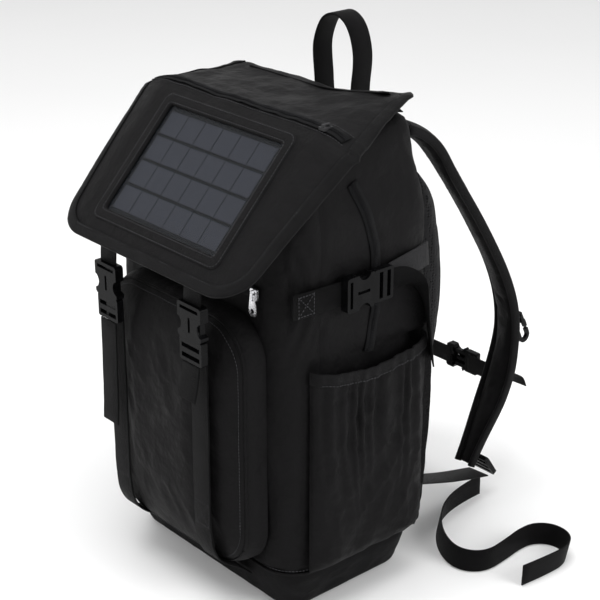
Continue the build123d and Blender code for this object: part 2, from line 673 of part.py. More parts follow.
# The loose tail of the right strap's webbing: down from the ladder lock to the floor,
# then in two lazy turns beside the pack, standing on its edge.
TAIL_ROUTE = [
    (87.0, 224.0, 13.6),
    (87.0, 190.0, 13.0),
    (100.0, 148.0, 13.0),
    (133.0, 111.0, 13.0),
    (172.0, 95.0, 13.0),
    (197.0, 113.0, 13.0),
    (194.0, 150.0, 13.0),
    (190.5, 172.0, 13.0),
    (192.0, 192.0, 13.0),
    (206.0, 206.0, 13.0),
    (226.0, 206.0, 13.0),
    (240.0, 192.0, 13.0),
    (243.0, 168.0, 13.0),
    (238.0, 124.0, 13.0),
]


def build_tail():
    """The loose webbing tail, as a plain tube along its route."""
    radii = corner_radii(TAIL_ROUTE)
    route = FilletPolyline(*TAIL_ROUTE, radius=radii)
    start = Plane(origin=route @ 0, z_dir=route % 0)
    tail = sweep(start * Circle(TAIL_DIAMETER / 2), path=route)
    keep("strap_tail", tail)
    section = Circle(TAIL_DIAMETER / 2).area
    print("tail length", round(route.length, 1), "radii", [round(r, 1) for r in radii])
    print("tail volume over section x length", round(tail.volume / (section * route.length), 4))


def strap_route():
    """Side view of a shoulder strap's middle line, from the back seam to its lower end."""
    start = BAG_BACK + CLEAR + 0.6
    rise = (BAG_HEIGHT - 10.0) / STRAP_DRAWN_TOP
    return [
        (start, 452.0 * rise),
        (start + 34.0, 441.0 * rise),
        (BAG_BACK + 74.0, 390.0 * rise),
        (BAG_BACK + 119.0, 327.0 * rise),
        (BAG_BACK + 161.0, 258.0 * rise),
        (BAG_BACK + 178.0, 205.0 * rise),
        (BAG_BACK + 174.0, 160.0 * rise),
        (BAG_BACK + 161.0, 122.0 * rise),
        (BAG_BACK + 136.0, 78.0 * rise),
        (BAG_BACK + 119.0, 46.0 * rise),
    ]


def handle_shape():
    """Carry loop of webbing, standing on the top of the back."""
    base = BAG_HEIGHT - 6.0
    top = base + HANDLE_HEIGHT + 8.0
    shoulder = top - HANDLE_HALF
    outline = [
        (-HANDLE_HALF, base, 0),
        (-HANDLE_HALF - 4, shoulder, 0),
        (0, top + 14, 0),
        (HANDLE_HALF + 4, shoulder, 0),
        (HANDLE_HALF, base, 0),
    ]
    route = FilletPolyline(*outline, radius=corner_radii(outline))
    face = make_face(offset(route, HANDLE_THICK / 2, side=Side.BOTH))
    return Pos(0, HANDLE_Y, 0) * extrude(Plane.XZ * face, WEBBING / 2, both=True)


# ---- build --------------------------------------------------------------------------
build_body()
build_front_pocket()
build_side_pockets()
build_flap()
build_lid_top()
build_front_straps()
build_side_straps()
build_zips()
build_back()
build_chest_strap()
build_lower_ends()
build_hook()
build_tail()

for name, shape in NODES.items():
    export_step(shape, f"parts/{name}.step")
print(len(NODES), "nodes")
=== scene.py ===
# %% [markdown]
# # A solar daypack, cell by cell
# The pack is sewn from black polyester. Its lid carries a small solar panel behind a clear
# window, and everything else is soft: a stuffed body, gathered pockets, padded straps and
# flat webbing. The hard pieces (buckles, sliders, locks and the key hook) come from the
# frame, which is loaded first, so that every soft piece is fitted to them.

# %% Load the frame
import math

import bpy
from mathutils import Matrix, Vector, noise


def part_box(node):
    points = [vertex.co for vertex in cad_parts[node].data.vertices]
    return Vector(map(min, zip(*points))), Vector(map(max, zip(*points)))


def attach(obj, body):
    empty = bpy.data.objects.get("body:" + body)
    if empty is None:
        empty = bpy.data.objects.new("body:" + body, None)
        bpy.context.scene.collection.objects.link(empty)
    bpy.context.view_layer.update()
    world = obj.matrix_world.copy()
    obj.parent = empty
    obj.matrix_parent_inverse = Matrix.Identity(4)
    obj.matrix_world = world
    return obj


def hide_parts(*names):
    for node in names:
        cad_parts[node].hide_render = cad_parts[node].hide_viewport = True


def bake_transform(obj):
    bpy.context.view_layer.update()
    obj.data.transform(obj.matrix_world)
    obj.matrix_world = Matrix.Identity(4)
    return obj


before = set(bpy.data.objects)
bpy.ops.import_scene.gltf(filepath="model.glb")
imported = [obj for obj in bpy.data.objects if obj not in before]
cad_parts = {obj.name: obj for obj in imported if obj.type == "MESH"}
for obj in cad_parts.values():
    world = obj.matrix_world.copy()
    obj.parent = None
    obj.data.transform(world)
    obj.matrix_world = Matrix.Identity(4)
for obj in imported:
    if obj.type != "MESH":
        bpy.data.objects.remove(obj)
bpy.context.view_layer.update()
MM = 0.001

# %% [markdown]
# ## Camera, floor and light
# A product shot looks slightly down at the front corner. A long lens keeps the pack's
# verticals nearly parallel. The floor is plain and pale, and three soft boxes light the
# cloth: a big one overhead for the lid, one at each side for the folds.

# %% Camera
CAMERA_PLACE = Vector((1.0857, -0.9104, 0.8804))
CAMERA_TARGET = Vector((0.042, 0.0, 0.284))
CAMERA_LENS = 93.36

camera = bpy.data.objects.new("camera", bpy.data.cameras.new("camera"))
camera.data.lens = CAMERA_LENS
camera.data.sensor_width = 36.0
camera.location = CAMERA_PLACE
camera.rotation_mode = "QUATERNION"
camera.rotation_quaternion = (CAMERA_TARGET - CAMERA_PLACE).to_track_quat("-Z", "Y")
bpy.context.collection.objects.link(camera)
bpy.context.scene.camera = camera
print("camera looks along", tuple(round(x, 3) for x in (CAMERA_TARGET - CAMERA_PLACE).normalized()))


# %% Materials start from one shader and a few helpers
def material(name, **values):
    """A new node material whose principled shader has these values on its own sockets."""
    made = bpy.data.materials.new(name)
    made.use_nodes = True
    shader = made.node_tree.nodes["Principled BSDF"]
    for label, value in values.items():
        shader.inputs[label.replace("_", " ")].default_value = value
    return made


def add(tree, kind, inputs=None, **settings):
    """Add a node, with its settings and the values of its inputs."""
    made = tree.nodes.new(kind)
    for label, value in settings.items():
        setattr(made, label, value)
    for label, value in (inputs or {}).items():
        made.inputs[label].default_value = value
    return made


def coordinates(tree, uv=None):
    """Object coordinates, or the piece's own map where a name is given."""
    if uv:
        return add(tree, "ShaderNodeUVMap", uv_map=uv).outputs["UV"]
    return add(tree, "ShaderNodeTexCoord").outputs["Object"]


def ramp(tree, value, stops):
    """A colour ramp through grey levels or colours."""
    made = add(tree, "ShaderNodeValToRGB")
    tree.links.new(value, made.inputs["Fac"])
    bands = made.color_ramp.elements
    while len(bands) < len(stops):
        bands.new(0.5)
    for band, (place, colour) in zip(bands, stops):
        band.position = place
        band.color = colour if len(colour) == 4 else (*colour, 1.0)
    return made.outputs["Color"]


def noise_at(tree, where, scale, detail=2.0, roughness=0.5):
    """A noise value at some coordinates."""
    made = add(tree, "ShaderNodeTexNoise", {"Scale": scale, "Detail": detail, "Roughness": roughness})
    tree.links.new(where, made.inputs["Vector"])
    return made.outputs["Fac"]


def waves_at(tree, where, scale, direction, distortion=0.0):
    """Parallel ridges at some coordinates."""
    made = add(tree, "ShaderNodeTexWave", {"Scale": scale, "Distortion": distortion})
    made.bands_direction = direction
    tree.links.new(where, made.inputs["Vector"])
    return made.outputs["Fac"]


def combine(tree, first, second, how="ADD"):
    """Two values joined by a sum, a product or the like."""
    made = add(tree, "ShaderNodeMath", operation=how)
    for socket, value in zip(made.inputs, (first, second)):
        if isinstance(value, (int, float)):
            socket.default_value = value
        else:
            tree.links.new(value, socket)
    return made.outputs[0]


def relief(tree, height, distance, below=None, strength=1.0):
    """A bump of a real height in metres, laid over another one."""
    made = add(tree, "ShaderNodeBump", {"Strength": strength, "Distance": distance})
    tree.links.new(height, made.inputs["Height"])
    if below is not None:
        tree.links.new(below, made.inputs["Normal"])
    return made.outputs["Normal"]


def finish_with(made, colour=None, rough=None, normal=None):
    """Plug colour, roughness and normal into a material's shader."""
    shader = made.node_tree.nodes["Principled BSDF"]
    for label, value in (("Base Color", colour), ("Roughness", rough), ("Normal", normal)):
        if value is not None:
            made.node_tree.links.new(value, shader.inputs[label])
    return made


# %% Floor and light
def pale_floor():
    """A matt, very slightly mottled studio floor."""
    made = material("studio_floor", Roughness=0.8)
    tree = made.node_tree
    cloudy = noise_at(tree, coordinates(tree), 1.5)
    return finish_with(made, ramp(tree, cloudy, [(0.0, (0.86, 0.86, 0.86)), (1.0, (0.9, 0.9, 0.9))]))


FLOOR_HALF = 12.0
floor_mesh = bpy.data.meshes.new("floor")
floor_corners = [(x * FLOOR_HALF, y * FLOOR_HALF, 0.0) for x, y in ((-1, -1), (1, -1), (1, 1), (-1, 1))]
floor_mesh.from_pydata(floor_corners, [], [(0, 1, 2, 3)])
floor = bpy.data.objects.new("floor", floor_mesh)
floor.data.materials.append(pale_floor())
bpy.context.collection.objects.link(floor)

world = bpy.data.worlds.new("studio")
bpy.context.scene.world = world
world.use_nodes = True
world.node_tree.nodes["Background"].inputs["Color"].default_value = (1.0, 1.0, 1.0, 1.0)
world.node_tree.nodes["Background"].inputs["Strength"].default_value = 0.72


def softbox(name, place, aim, size, power):
    """A square area light."""
    lamp = bpy.data.lights.new(name, "AREA")
    lamp.shape = "SQUARE"
    lamp.size = size
    lamp.energy = power
    made = bpy.data.objects.new(name, lamp)
    made.location = place
    made.rotation_mode = "QUATERNION"
    made.rotation_quaternion = (Vector(aim) - Vector(place)).to_track_quat("-Z", "Y")
    bpy.context.collection.objects.link(made)
    return made


softbox("overhead", (0.1, -0.5, 2.6), (0.0, 0.0, 0.3), 1.6, 43.0)
softbox("right_side", (2.2, 0.6, 1.2), (0.0, 0.0, 0.3), 1.2, 30.0)
softbox("left_front", (-1.2, -2.0, 1.3), (0.0, 0.0, 0.3), 1.2, 16.0)
bpy.context.scene.view_settings.view_transform = "Standard"
print("three soft boxes and a pale floor")

# %% [markdown]
# ## Finishes
# Nearly everything is black, so the cloths differ by weave, sheen and roughness instead of
# colour. Flat cloth reads the object's own coordinates. Webbing and tape carry a map in
# metres, u across and v along, so that their ribs follow every bend and twist.

# %% Woven cloths
BLACK = (0.0105, 0.0105, 0.0115, 1.0)


def woven(name, pitch, depth, shades, roughness, sheen):
    """Plain-weave cloth: threads, slubs, soft creases and a nap that catches the light."""
    made = material(name, Roughness=roughness, Sheen_Weight=sheen, Sheen_Roughness=0.35, Base_Color=BLACK)
    made.node_tree.nodes["Principled BSDF"].inputs["Specular IOR Level"].default_value = 0.06
    tree = made.node_tree
    where = coordinates(tree)
    ridges = 1.0 / (pitch * 2 * math.pi / 20)
    warp = waves_at(tree, where, ridges, "Z", 0.4)
    weft = waves_at(tree, where, ridges, "DIAGONAL", 0.4)
    slubs = noise_at(tree, where, 900.0)
    threads = combine(tree, combine(tree, warp, weft, "MULTIPLY"), slubs, "ADD")
    creases = noise_at(tree, where, 26.0, 4.0, 0.55)
    rumple = noise_at(tree, where, 85.0, 2.0, 0.5)
    bumps = relief(tree, creases, 0.0036)
    bumps = relief(tree, rumple, 0.0012, bumps)
    bumps = relief(tree, threads, depth, bumps, 0.8)
    patches = noise_at(tree, where, 34.0, 3.0)
    mixed = combine(tree, combine(tree, patches, 0.6, "MULTIPLY"), combine(tree, slubs, 0.4, "MULTIPLY"))
    colour = ramp(tree, mixed, [(0.3, shades[0]), (0.7, shades[1])])
    low, high = roughness - 0.07, roughness + 0.08
    rough = ramp(tree, patches, [(0.35, (low, low, low)), (0.65, (high, high, high))])
    return finish_with(made, colour, rough, bumps)


pack_cloth = woven("pack_cloth", 0.0007, 0.00010, [(0.0036, 0.0034, 0.0036), (0.0066, 0.0063, 0.0067)], 0.56, 0.014)
boot_cloth = woven("boot_cloth", 0.0014, 0.00030, [(0.0036, 0.0034, 0.0037), (0.0068, 0.0066, 0.007)], 0.62, 0.012)
lid_cloth = woven("lid_cloth", 0.0007, 0.00010, [(0.0044, 0.0042, 0.0045), (0.0078, 0.0075, 0.008)], 0.52, 0.014)
lining_cloth = woven("lining_cloth", 0.0005, 0.00006, [(0.008, 0.008, 0.0085), (0.013, 0.013, 0.0135)], 0.5, 0.03)
print("cloths:", ", ".join(m.name for m in (pack_cloth, boot_cloth, lid_cloth, lining_cloth)))


# %% Webbing, binding tape and zip tape
def ribbed(name, rib, depth, shades, roughness, sheen=0.15, edge=0.0):
    """Flat woven tape on its own map: ribs across, fine threads along."""
    made = material(name, Roughness=roughness, Sheen_Weight=sheen, Sheen_Roughness=0.4)
    made.node_tree.nodes["Principled BSDF"].inputs["Specular IOR Level"].default_value = 0.05
    tree = made.node_tree
    where = coordinates(tree, "cloth_map")
    per_metre = 1.0 / (rib * 2 * math.pi / 20)
    ribs = waves_at(tree, where, per_metre, "Y", 0.3)
    cords = waves_at(tree, where, per_metre * 1.4, "X", 0.3)
    fuzz = noise_at(tree, where, 1500.0)
    bumps = relief(tree, combine(tree, combine(tree, ribs, cords, "MULTIPLY"), fuzz, "ADD"), depth)
    lumps = noise_at(tree, where, 60.0, 3.0)
    bumps = relief(tree, lumps, 0.0006, bumps)
    mixed = combine(tree, combine(tree, ribs, 0.4, "MULTIPLY"), combine(tree, lumps, 0.6, "MULTIPLY"))
    return finish_with(made, ramp(tree, mixed, [(0.2, shades[0]), (0.8, shades[1])]), None, bumps)


webbing_weave = ribbed("webbing", 0.0016, 0.00022, [(0.0022, 0.0021, 0.0023), (0.0062, 0.006, 0.0064)], 0.5, 0.012)
side_webbing = ribbed("side_webbing", 0.0016, 0.0002, [(0.012, 0.0118, 0.013), (0.021, 0.0205, 0.022)], 0.48, 0.08)
binding_tape = ribbed("binding_tape", 0.0009, 0.00012, [(0.0042, 0.004, 0.0043), (0.009, 0.0088, 0.0092)], 0.5, 0.016)
zip_tape = ribbed("zip_tape", 0.0008, 0.0001, [(0.005, 0.005, 0.0055), (0.009, 0.009, 0.0095)], 0.6, 0.02)


# %% Spacer mesh for the back and the inside of the straps
def spacer_mesh():
    """Open hexagon-like cells over foam."""
    made = material("mesh_pad", Roughness=0.75, Sheen_Weight=0.05, Sheen_Roughness=0.5)
    made.node_tree.nodes["Principled BSDF"].inputs["Specular IOR Level"].default_value = 0.1
    tree = made.node_tree
    where = coordinates(tree)
    cells = add(tree, "ShaderNodeTexVoronoi", {"Scale": 330.0, "Randomness": 0.35})
    tree.links.new(where, cells.inputs["Vector"])
    holes = ramp(tree, cells.outputs["Distance"], [(0.18, (0.0, 0.0, 0.0)), (0.42, (1.0, 1.0, 1.0))])
    bumps = relief(tree, holes, 0.0008)
    bumps = relief(tree, noise_at(tree, where, 40.0, 3.0), 0.003, bumps)
    # The middles of the open cells are painted darker: painted shade down in the holes.
    shades = [(0.1, (0.002, 0.002, 0.0023)), (0.5, (0.011, 0.0108, 0.0115))]
    return finish_with(made, ramp(tree, cells.outputs["Distance"], shades), None, bumps)


mesh_pad = spacer_mesh()


# %% Moulded plastic and bright metal
def moulded(name, shade, roughness, grain):
    """Moulded nylon with a fine spark grain and lighter, slightly worn patches at random."""
    made = material(name, Roughness=roughness, Base_Color=shade, Specular_IOR_Level=0.07)
    tree = made.node_tree
    where = coordinates(tree)
    speckle = noise_at(tree, where, 1400.0, 2.0)
    patches = noise_at(tree, where, 90.0, 3.0)
    dull = [(0.3, (roughness - 0.06,) * 3), (0.7, (roughness + 0.1,) * 3)]
    tone = [(0.35, shade[:3]), (0.75, tuple(2.1 * c for c in shade[:3]))]
    return finish_with(made, ramp(tree, patches, tone), ramp(tree, patches, dull), relief(tree, speckle, grain))


def brushed_metal():
    """Nickel-plated zinc with light handling scratches."""
    made = material("bright_metal", Metallic=1.0, Roughness=0.24, Base_Color=(0.82, 0.82, 0.84, 1.0))
    tree = made.node_tree
    where = coordinates(tree)
    scratches = noise_at(tree, where, 700.0, 4.0, 0.7)
    rough = ramp(tree, scratches, [(0.3, (0.16, 0.16, 0.16)), (0.7, (0.36, 0.36, 0.36))])
    tone = ramp(tree, noise_at(tree, where, 120.0), [(0.3, (0.72, 0.72, 0.74)), (0.7, (0.88, 0.88, 0.9))])
    return finish_with(made, tone, rough, relief(tree, scratches, 0.00004))


buckle_plastic = moulded("buckle_plastic", (0.002, 0.002, 0.0022, 1.0), 0.24, 0.00001)
coil_plastic = moulded("coil_plastic", (0.006, 0.006, 0.0066, 1.0), 0.34, 0.00002)
bright_metal = brushed_metal()
print("tapes, mesh, plastic and metal are ready")

# %% [markdown]
# ### The panel's own finishes
# Silicon cells are blue-black, crossed by hair-thin silver lines. The panel lies in the
# lid's slope, so the pattern's coordinates are turned by that slope with a Mapping node,
# and the lines then run straight up and across the panel.

# %% Cells, board and window film
SLOPE = math.radians(46.7)


def slope_coordinates(tree):
    """Object coordinates turned so that x runs across the panel and y up the slope."""
    turn = add(tree, "ShaderNodeMapping", {"Rotation": (-SLOPE, 0.0, 0.0)})
    tree.links.new(coordinates(tree), turn.inputs["Vector"])
    return turn.outputs["Vector"]


def silicon():
    """Blue-black cells with fine contact lines."""
    made = material("cell_silicon", Roughness=0.4, Specular_IOR_Level=0.2)
    tree = made.node_tree
    where = slope_coordinates(tree)
    fingers = waves_at(tree, where, 1.0 / (0.0021 * 2 * math.pi / 20), "Y")
    lines = ramp(tree, fingers, [(0.7, (0.0, 0.0, 0.0)), (0.95, (1.0, 1.0, 1.0))])
    grain = noise_at(tree, where, 160.0, 3.0)
    body = ramp(tree, grain, [(0.3, (0.019, 0.0215, 0.030)), (0.7, (0.027, 0.030, 0.041))])
    mix = add(tree, "ShaderNodeMixRGB", {"Color2": (0.043, 0.047, 0.06, 1.0)})
    tree.links.new(lines, mix.inputs["Fac"])
    tree.links.new(body, mix.inputs["Color1"])
    return finish_with(made, mix.outputs["Color"], None, relief(tree, grain, 0.0001))


def laminate():
    """Dark backing sheet between the cells."""
    made = material("panel_laminate", Roughness=0.4, Specular_IOR_Level=0.12)
    tree = made.node_tree
    grain = noise_at(tree, coordinates(tree), 300.0, 3.0)
    return finish_with(made, ramp(tree, grain, [(0.3, (0.004, 0.0045, 0.006)), (0.7, (0.007, 0.008, 0.010))]))


def clear_film():
    """Thin glossy film, slightly wavy."""
    made = material("window_film", Roughness=0.12, Base_Color=(0.01, 0.012, 0.015, 1.0), Alpha=0.12)
    made.node_tree.nodes["Principled BSDF"].inputs["Specular IOR Level"].default_value = 0.7
    tree = made.node_tree
    ripple = noise_at(tree, coordinates(tree), 22.0, 2.0)
    rough = ramp(tree, ripple, [(0.3, (0.08, 0.08, 0.08)), (0.7, (0.2, 0.2, 0.2))])
    return finish_with(made, None, rough, relief(tree, ripple, 0.0004))


cell_silicon, panel_laminate, window_film = silicon(), laminate(), clear_film()
print("panel finishes are ready")


# %% [markdown]
# ## Making meshes
# Three small makers do most of the sewing. `skin` turns rows of points into a surface.
# `strap` runs a flat, thick ribbon along a path and writes its map in metres.
# `place` puts a finished piece on the body that it moves with, and hides the frame pieces it stands for.

# %% Makers
def vec(x, y, z):
    """A point given in millimetres."""
    return Vector((x * MM, y * MM, z * MM))


def raw_object(name, points, faces, finish, smooth=True):
    """A mesh object from points and faces."""
    mesh = bpy.data.meshes.new(name)
    mesh.from_pydata([tuple(p) for p in points], [], faces)
    mesh.validate()
    mesh.update()
    if smooth:
        mesh.polygons.foreach_set("use_smooth", [True] * len(mesh.polygons))
    mesh.materials.append(finish)
    made = bpy.data.objects.new(name, mesh)
    bpy.context.collection.objects.link(made)
    return made


def skin(name, rows, finish, around=False, caps=False, leave_out=None):
    """A surface over rows of points, closed around and capped at its ends where asked."""
    wide = len(rows[0])
    points = [p for row in rows for p in row]
    faces = []
    for i in range(len(rows) - 1):
        for j in range(wide if around else wide - 1):
            if leave_out and leave_out(i, j):
                continue
            k = (j + 1) % wide
            faces.append((i * wide + j, i * wide + k, (i + 1) * wide + k, (i + 1) * wide + j))
    if caps:
        faces.append(tuple(reversed(range(wide))))
        last = (len(rows) - 1) * wide
        faces.append(tuple(range(last, last + wide)))
    return raw_object(name, points, faces, finish)


def apply_modifiers(piece):
    """Make the piece what its modifiers make of it."""
    dg = bpy.context.evaluated_depsgraph_get()
    made = bpy.data.meshes.new_from_object(piece.evaluated_get(dg), depsgraph=dg)
    piece.modifiers.clear()
    old = piece.data
    piece.data = made
    bpy.data.meshes.remove(old)
    return piece


def thicken(piece, thickness, offset=-1.0):
    """Give a skin its real thickness."""
    wall = piece.modifiers.new("wall", "SOLIDIFY")
    wall.thickness = thickness
    wall.offset = offset
    return apply_modifiers(piece)


def join(name, pieces):
    """Several meshes as one piece."""
    with bpy.context.temp_override(active_object=pieces[0], selected_editable_objects=pieces):
        bpy.ops.object.join()
    pieces[0].name = name
    return pieces[0]


def place(piece, body, slot_name, *nodes):
    """Ride a finished piece on its body and hide the frame pieces it stands for."""
    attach(piece, body)
    if nodes:
        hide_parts(*nodes)
    return piece


def curve_through(points, steps=8):
    """A smooth line through a few points."""
    padded_points = [points[0] * 2 - points[1], *points, points[-1] * 2 - points[-2]]
    line = []
    for a, b, c, d in zip(padded_points, padded_points[1:], padded_points[2:], padded_points[3:]):
        for i in range(steps):
            t = i / steps
            line.append(0.5 * (2 * b + (c - a) * t + (2 * a - 5 * b + 4 * c - d) * t**2 + (3 * b - a - 3 * c + d) * t**3))
    return [*line, points[-1]]


def mirror_points(points):
    """The same points on the other side of the pack."""
    return [Vector((-p.x, p.y, p.z)) for p in points]


def strap(name, line, across, width, thick, finish, wave=0.0):
    """A flat ribbon along a line. Across is its width direction, one for all or one for each point."""
    if isinstance(across, Vector):
        across = [across] * len(line)
    half, deep = width / 2, thick / 2
    section = [(-half, 0.0), (-half + deep * 0.6, -deep), (0.0, -deep), (half - deep * 0.6, -deep)]
    section += [(half, 0.0), (half - deep * 0.6, deep), (0.0, deep), (-half + deep * 0.6, deep)]
    rows, gone, distance = [], [], 0.0
    for i, here in enumerate(line):
        ahead, behind = line[min(i + 1, len(line) - 1)], line[max(i - 1, 0)]
        run = (ahead - behind).normalized()
        side = (across[i] - run * across[i].dot(run)).normalized()
        face = side.cross(run)
        lift = wave * noise.noise(Vector((distance * 45.0, width * 90.0, 3.7)))
        rows.append([here + side * a + face * (b + lift) for a, b in section])
        gone.append(distance)
        distance += (ahead - here).length
    made = skin(name, rows, finish, around=True, caps=True)
    layer = made.data.uv_layers.new(name="cloth_map")
    count = len(section)
    for loop in made.data.loops:
        row, spot = divmod(loop.vertex_index, count)
        layer.data[loop.index].uv = (section[spot][0], gone[row])
    return made


def tilted(line, first, last):
    """Directions that turn evenly from the first to the last along a line."""
    count = len(line) - 1
    return [first.lerp(last, i / count).normalized() for i in range(count + 1)]


X, Y, Z = Vector((1, 0, 0)), Vector((0, 1, 0)), Vector((0, 0, 1))
WEBBING, WEBBING_THICK = 0.025, 0.0016
print("makers are ready")

# %% [markdown]
# ## The loose tail
# The right shoulder strap's webbing runs out of its ladder lock and lies on the floor in
# two lazy turns. Real webbing stands on its edge when it curls like this, because it bends
# easily one way only. The route is a spline through given control points, and the ribbon
# follows the line that Blender makes of it.

# %% Tail
TAIL_ROUTE = [
    (0.087, 0.224, 0.0136),
    (0.087, 0.190, 0.013),
    (0.100, 0.148, 0.013),
    (0.133, 0.111, 0.013),
    (0.172, 0.095, 0.013),
    (0.197, 0.113, 0.013),
    (0.194, 0.150, 0.013),
    (0.1905, 0.172, 0.013),
    (0.192, 0.192, 0.013),
    (0.206, 0.206, 0.013),
    (0.226, 0.206, 0.013),
    (0.240, 0.192, 0.013),
    (0.243, 0.168, 0.013),
    (0.238, 0.124, 0.013),
]


def spline_line(route, resolution=10):
    """The points of a smooth spline with this route as its control points."""
    curve = bpy.data.curves.new("tail_line", "CURVE")
    curve.dimensions = "3D"
    spline = curve.splines.new("NURBS")
    spline.points.add(len(route) - 1)
    for point, spot in zip(spline.points, route):
        point.co = (*spot, 1.0)
    spline.order_u = 3
    spline.use_endpoint_u = True
    spline.resolution_u = resolution
    holder = bpy.data.objects.new("tail_line", curve)
    bpy.context.collection.objects.link(holder)
    made = bpy.data.meshes.new_from_object(holder)
    line = [v.co.copy() for v in made.vertices]
    bpy.data.objects.remove(holder)
    return line


tail_line = spline_line(TAIL_ROUTE)
tail_length = sum((b - a).length for a, b in zip(tail_line, tail_line[1:]))
lean = [Vector((0.10 * math.sin(9.0 * i / len(tail_line)), 0.16, 1.0)).normalized() for i in range(len(tail_line))]
tail = strap("webbing_tail", tail_line, lean, 0.0242, WEBBING_THICK, webbing_weave)
place(tail, "bag", "webbing", "strap_tail")
print("tail is", round(tail_length, 3), "m long")

# %% [markdown]
# ## The stuffed body
# Four panels and two front corners are sewn into a tube, closed by a top, and the contents
# push the cloth out between the seams. Modelling each panel as a board would look like a
# box, so the body is one skin: rings of a rounded plan, moved in and out by a few soft
# functions, which are the seams, the pull of the compression straps, and creases.

# %% The body's sizes come from the frame
panel_boxes = [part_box(n) for n in ("front_panel", "back_panel", "side_panel_right", "side_panel_left")]
BODY_X = max(high.x for low, high in panel_boxes) / MM
BODY_FRONT = min(low.y for low, high in panel_boxes) / MM
BODY_BACK = max(high.y for low, high in panel_boxes) / MM
SEAM_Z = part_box("base_boot")[1].z / MM
BODY_TOP = max(high.z for low, high in panel_boxes) / MM
RIDGE = (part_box("lid_cover")[1].y / MM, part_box("lid_cover")[1].z / MM)
STRAP_Z = (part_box("side_buckle_socket_right")[0].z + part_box("side_buckle_socket_right")[1].z) / 2 / MM
CORNER = 38.0
CORNER_SEAM_Y = -54.0
LID_CLEAR = 14.6
print("body", 2 * BODY_X, "x", BODY_BACK - BODY_FRONT, "x", BODY_TOP, "mm, seam at", SEAM_Z)


# %% Plan, profile and folds
def plan(inset, count):
    """Points and outward directions round the body's plan, evenly spaced."""
    half_x, half_y = BODY_X - inset, (BODY_BACK - BODY_FRONT) / 2 - inset
    middle = (BODY_BACK + BODY_FRONT) / 2
    radius = CORNER - inset / 2
    straight_x, straight_y, arc = 2 * (half_x - radius), 2 * (half_y - radius), radius * math.pi / 2
    total = 2 * straight_x + 2 * straight_y + 4 * arc
    spots = []
    for i in range(count):
        left = total * i / count
        for turn, straight in enumerate((straight_y, straight_x, straight_y, straight_x)):
            if left < straight + arc:
                break
            left -= straight + arc
        angle = turn * math.pi / 2
        if left < straight:
            normal = Vector((math.cos(angle), math.sin(angle)))
            centre = Vector((half_x, half_y)) if turn % 2 == 0 else Vector((half_y, half_x))
            flat = Vector((centre.x, left - straight / 2))
            spot = Matrix.Rotation(angle, 2) @ flat
        else:
            bend = angle + (left - straight) / radius
            normal = Vector((math.cos(bend), math.sin(bend)))
            signs = [(1, 1), (-1, 1), (-1, -1), (1, -1)][turn]
            corner = Vector((signs[0] * (half_x - radius), signs[1] * (half_y - radius)))
            spot = corner + normal * radius
        spots.append((spot.x, spot.y + middle, normal))
    return spots


def ease(value, levels):
    """Smooth value between levels given as (place, value) pairs."""
    for (low, first), (high, last) in zip(levels, levels[1:]):
        if value <= high:
            t = max(0.0, (value - low) / (high - low))
            return first + (last - first) * t * t * (3 - 2 * t)
    return levels[-1][1]


INSETS = [(0.0, 14.0), (SEAM_Z, 4.0), (0.5 * BODY_TOP, 0.0), (0.85 * BODY_TOP, 2.0), (BODY_TOP, 9.0)]


LEVEL, HALF_BACK, CORNER_RISE = 106.0, 126.0, 20.0


def corner_rise(x, down):
    """How far the stuffed right back corner lifts the lid and the body under it."""
    return CORNER_RISE * max(0.0, x / HALF_BACK) ** 1.6 * ease(-down, [(0.0, 0.0), (LEVEL, 1.0)])


def under_lid(y):
    """Height of the lid's underside, with its clearance, at some depth y."""
    knee_y = RIDGE[0] + LID_CLEAR * math.sin(SLOPE)
    knee_z = RIDGE[1] - LID_CLEAR * math.cos(SLOPE)
    return knee_z - (knee_y - y) * math.tan(SLOPE)


def bell(value, middle, width):
    """A soft bump of height one."""
    return math.exp(-(((value - middle) / width) ** 2))


def creases(x, y, z, size, stretch, seed):
    """Ridged folds, long in one direction."""
    spot = Vector((x / size, y / size, z / size / stretch + seed))
    return 1.0 - 2.0 * abs(noise.noise(spot))


def body_fold(x, y, z, normal):
    """How far the cloth stands out from the plain plan, in millimetres."""
    side = abs(normal.x)
    out = 2.4 * noise.noise(Vector((x / 95, y / 95, z / 120)))
    out += 1.3 * creases(x, y, z, 34, 3.2, 5.1) * (0.5 + 0.5 * noise.noise(Vector((x / 60, y / 60, z / 60))))
    out += 0.9 * creases(x, y + 0.5 * z, z, 21, 1.6, 9.7)
    if side > 0.7:
        out -= 2.4 * bell(y, CORNER_SEAM_Y, 3.0)
        cinch = bell(z, STRAP_Z, 17)
        out -= 3.6 * cinch
        near = bell(y, -82, 26) * bell(z, STRAP_Z, 46)
        out += 2.6 * near * math.sin(2 * math.pi * (y + 0.35 * abs(z - STRAP_Z)) / 12.5)
        out += 2.4 * bell(z, STRAP_Z + 52, 30)
    if normal.y > 0:
        out += 20.0 * (normal.x * normal.y) ** 2 * 4 * math.sin(math.pi * min(1.0, max(0.0, z / BODY_TOP)) ** 0.6)
    if z < SEAM_Z + 60:
        low = 1.0 - (z - SEAM_Z) / 60
        out += 1.6 * low * creases(x, y, z * 3.0, 26, 1.0, 2.2)
    return out


def pocket_room(x, y, z):
    """True where a side pocket lies over the body."""
    return abs(x) > BODY_X - 8 and z < 268 and -78 < y < 82


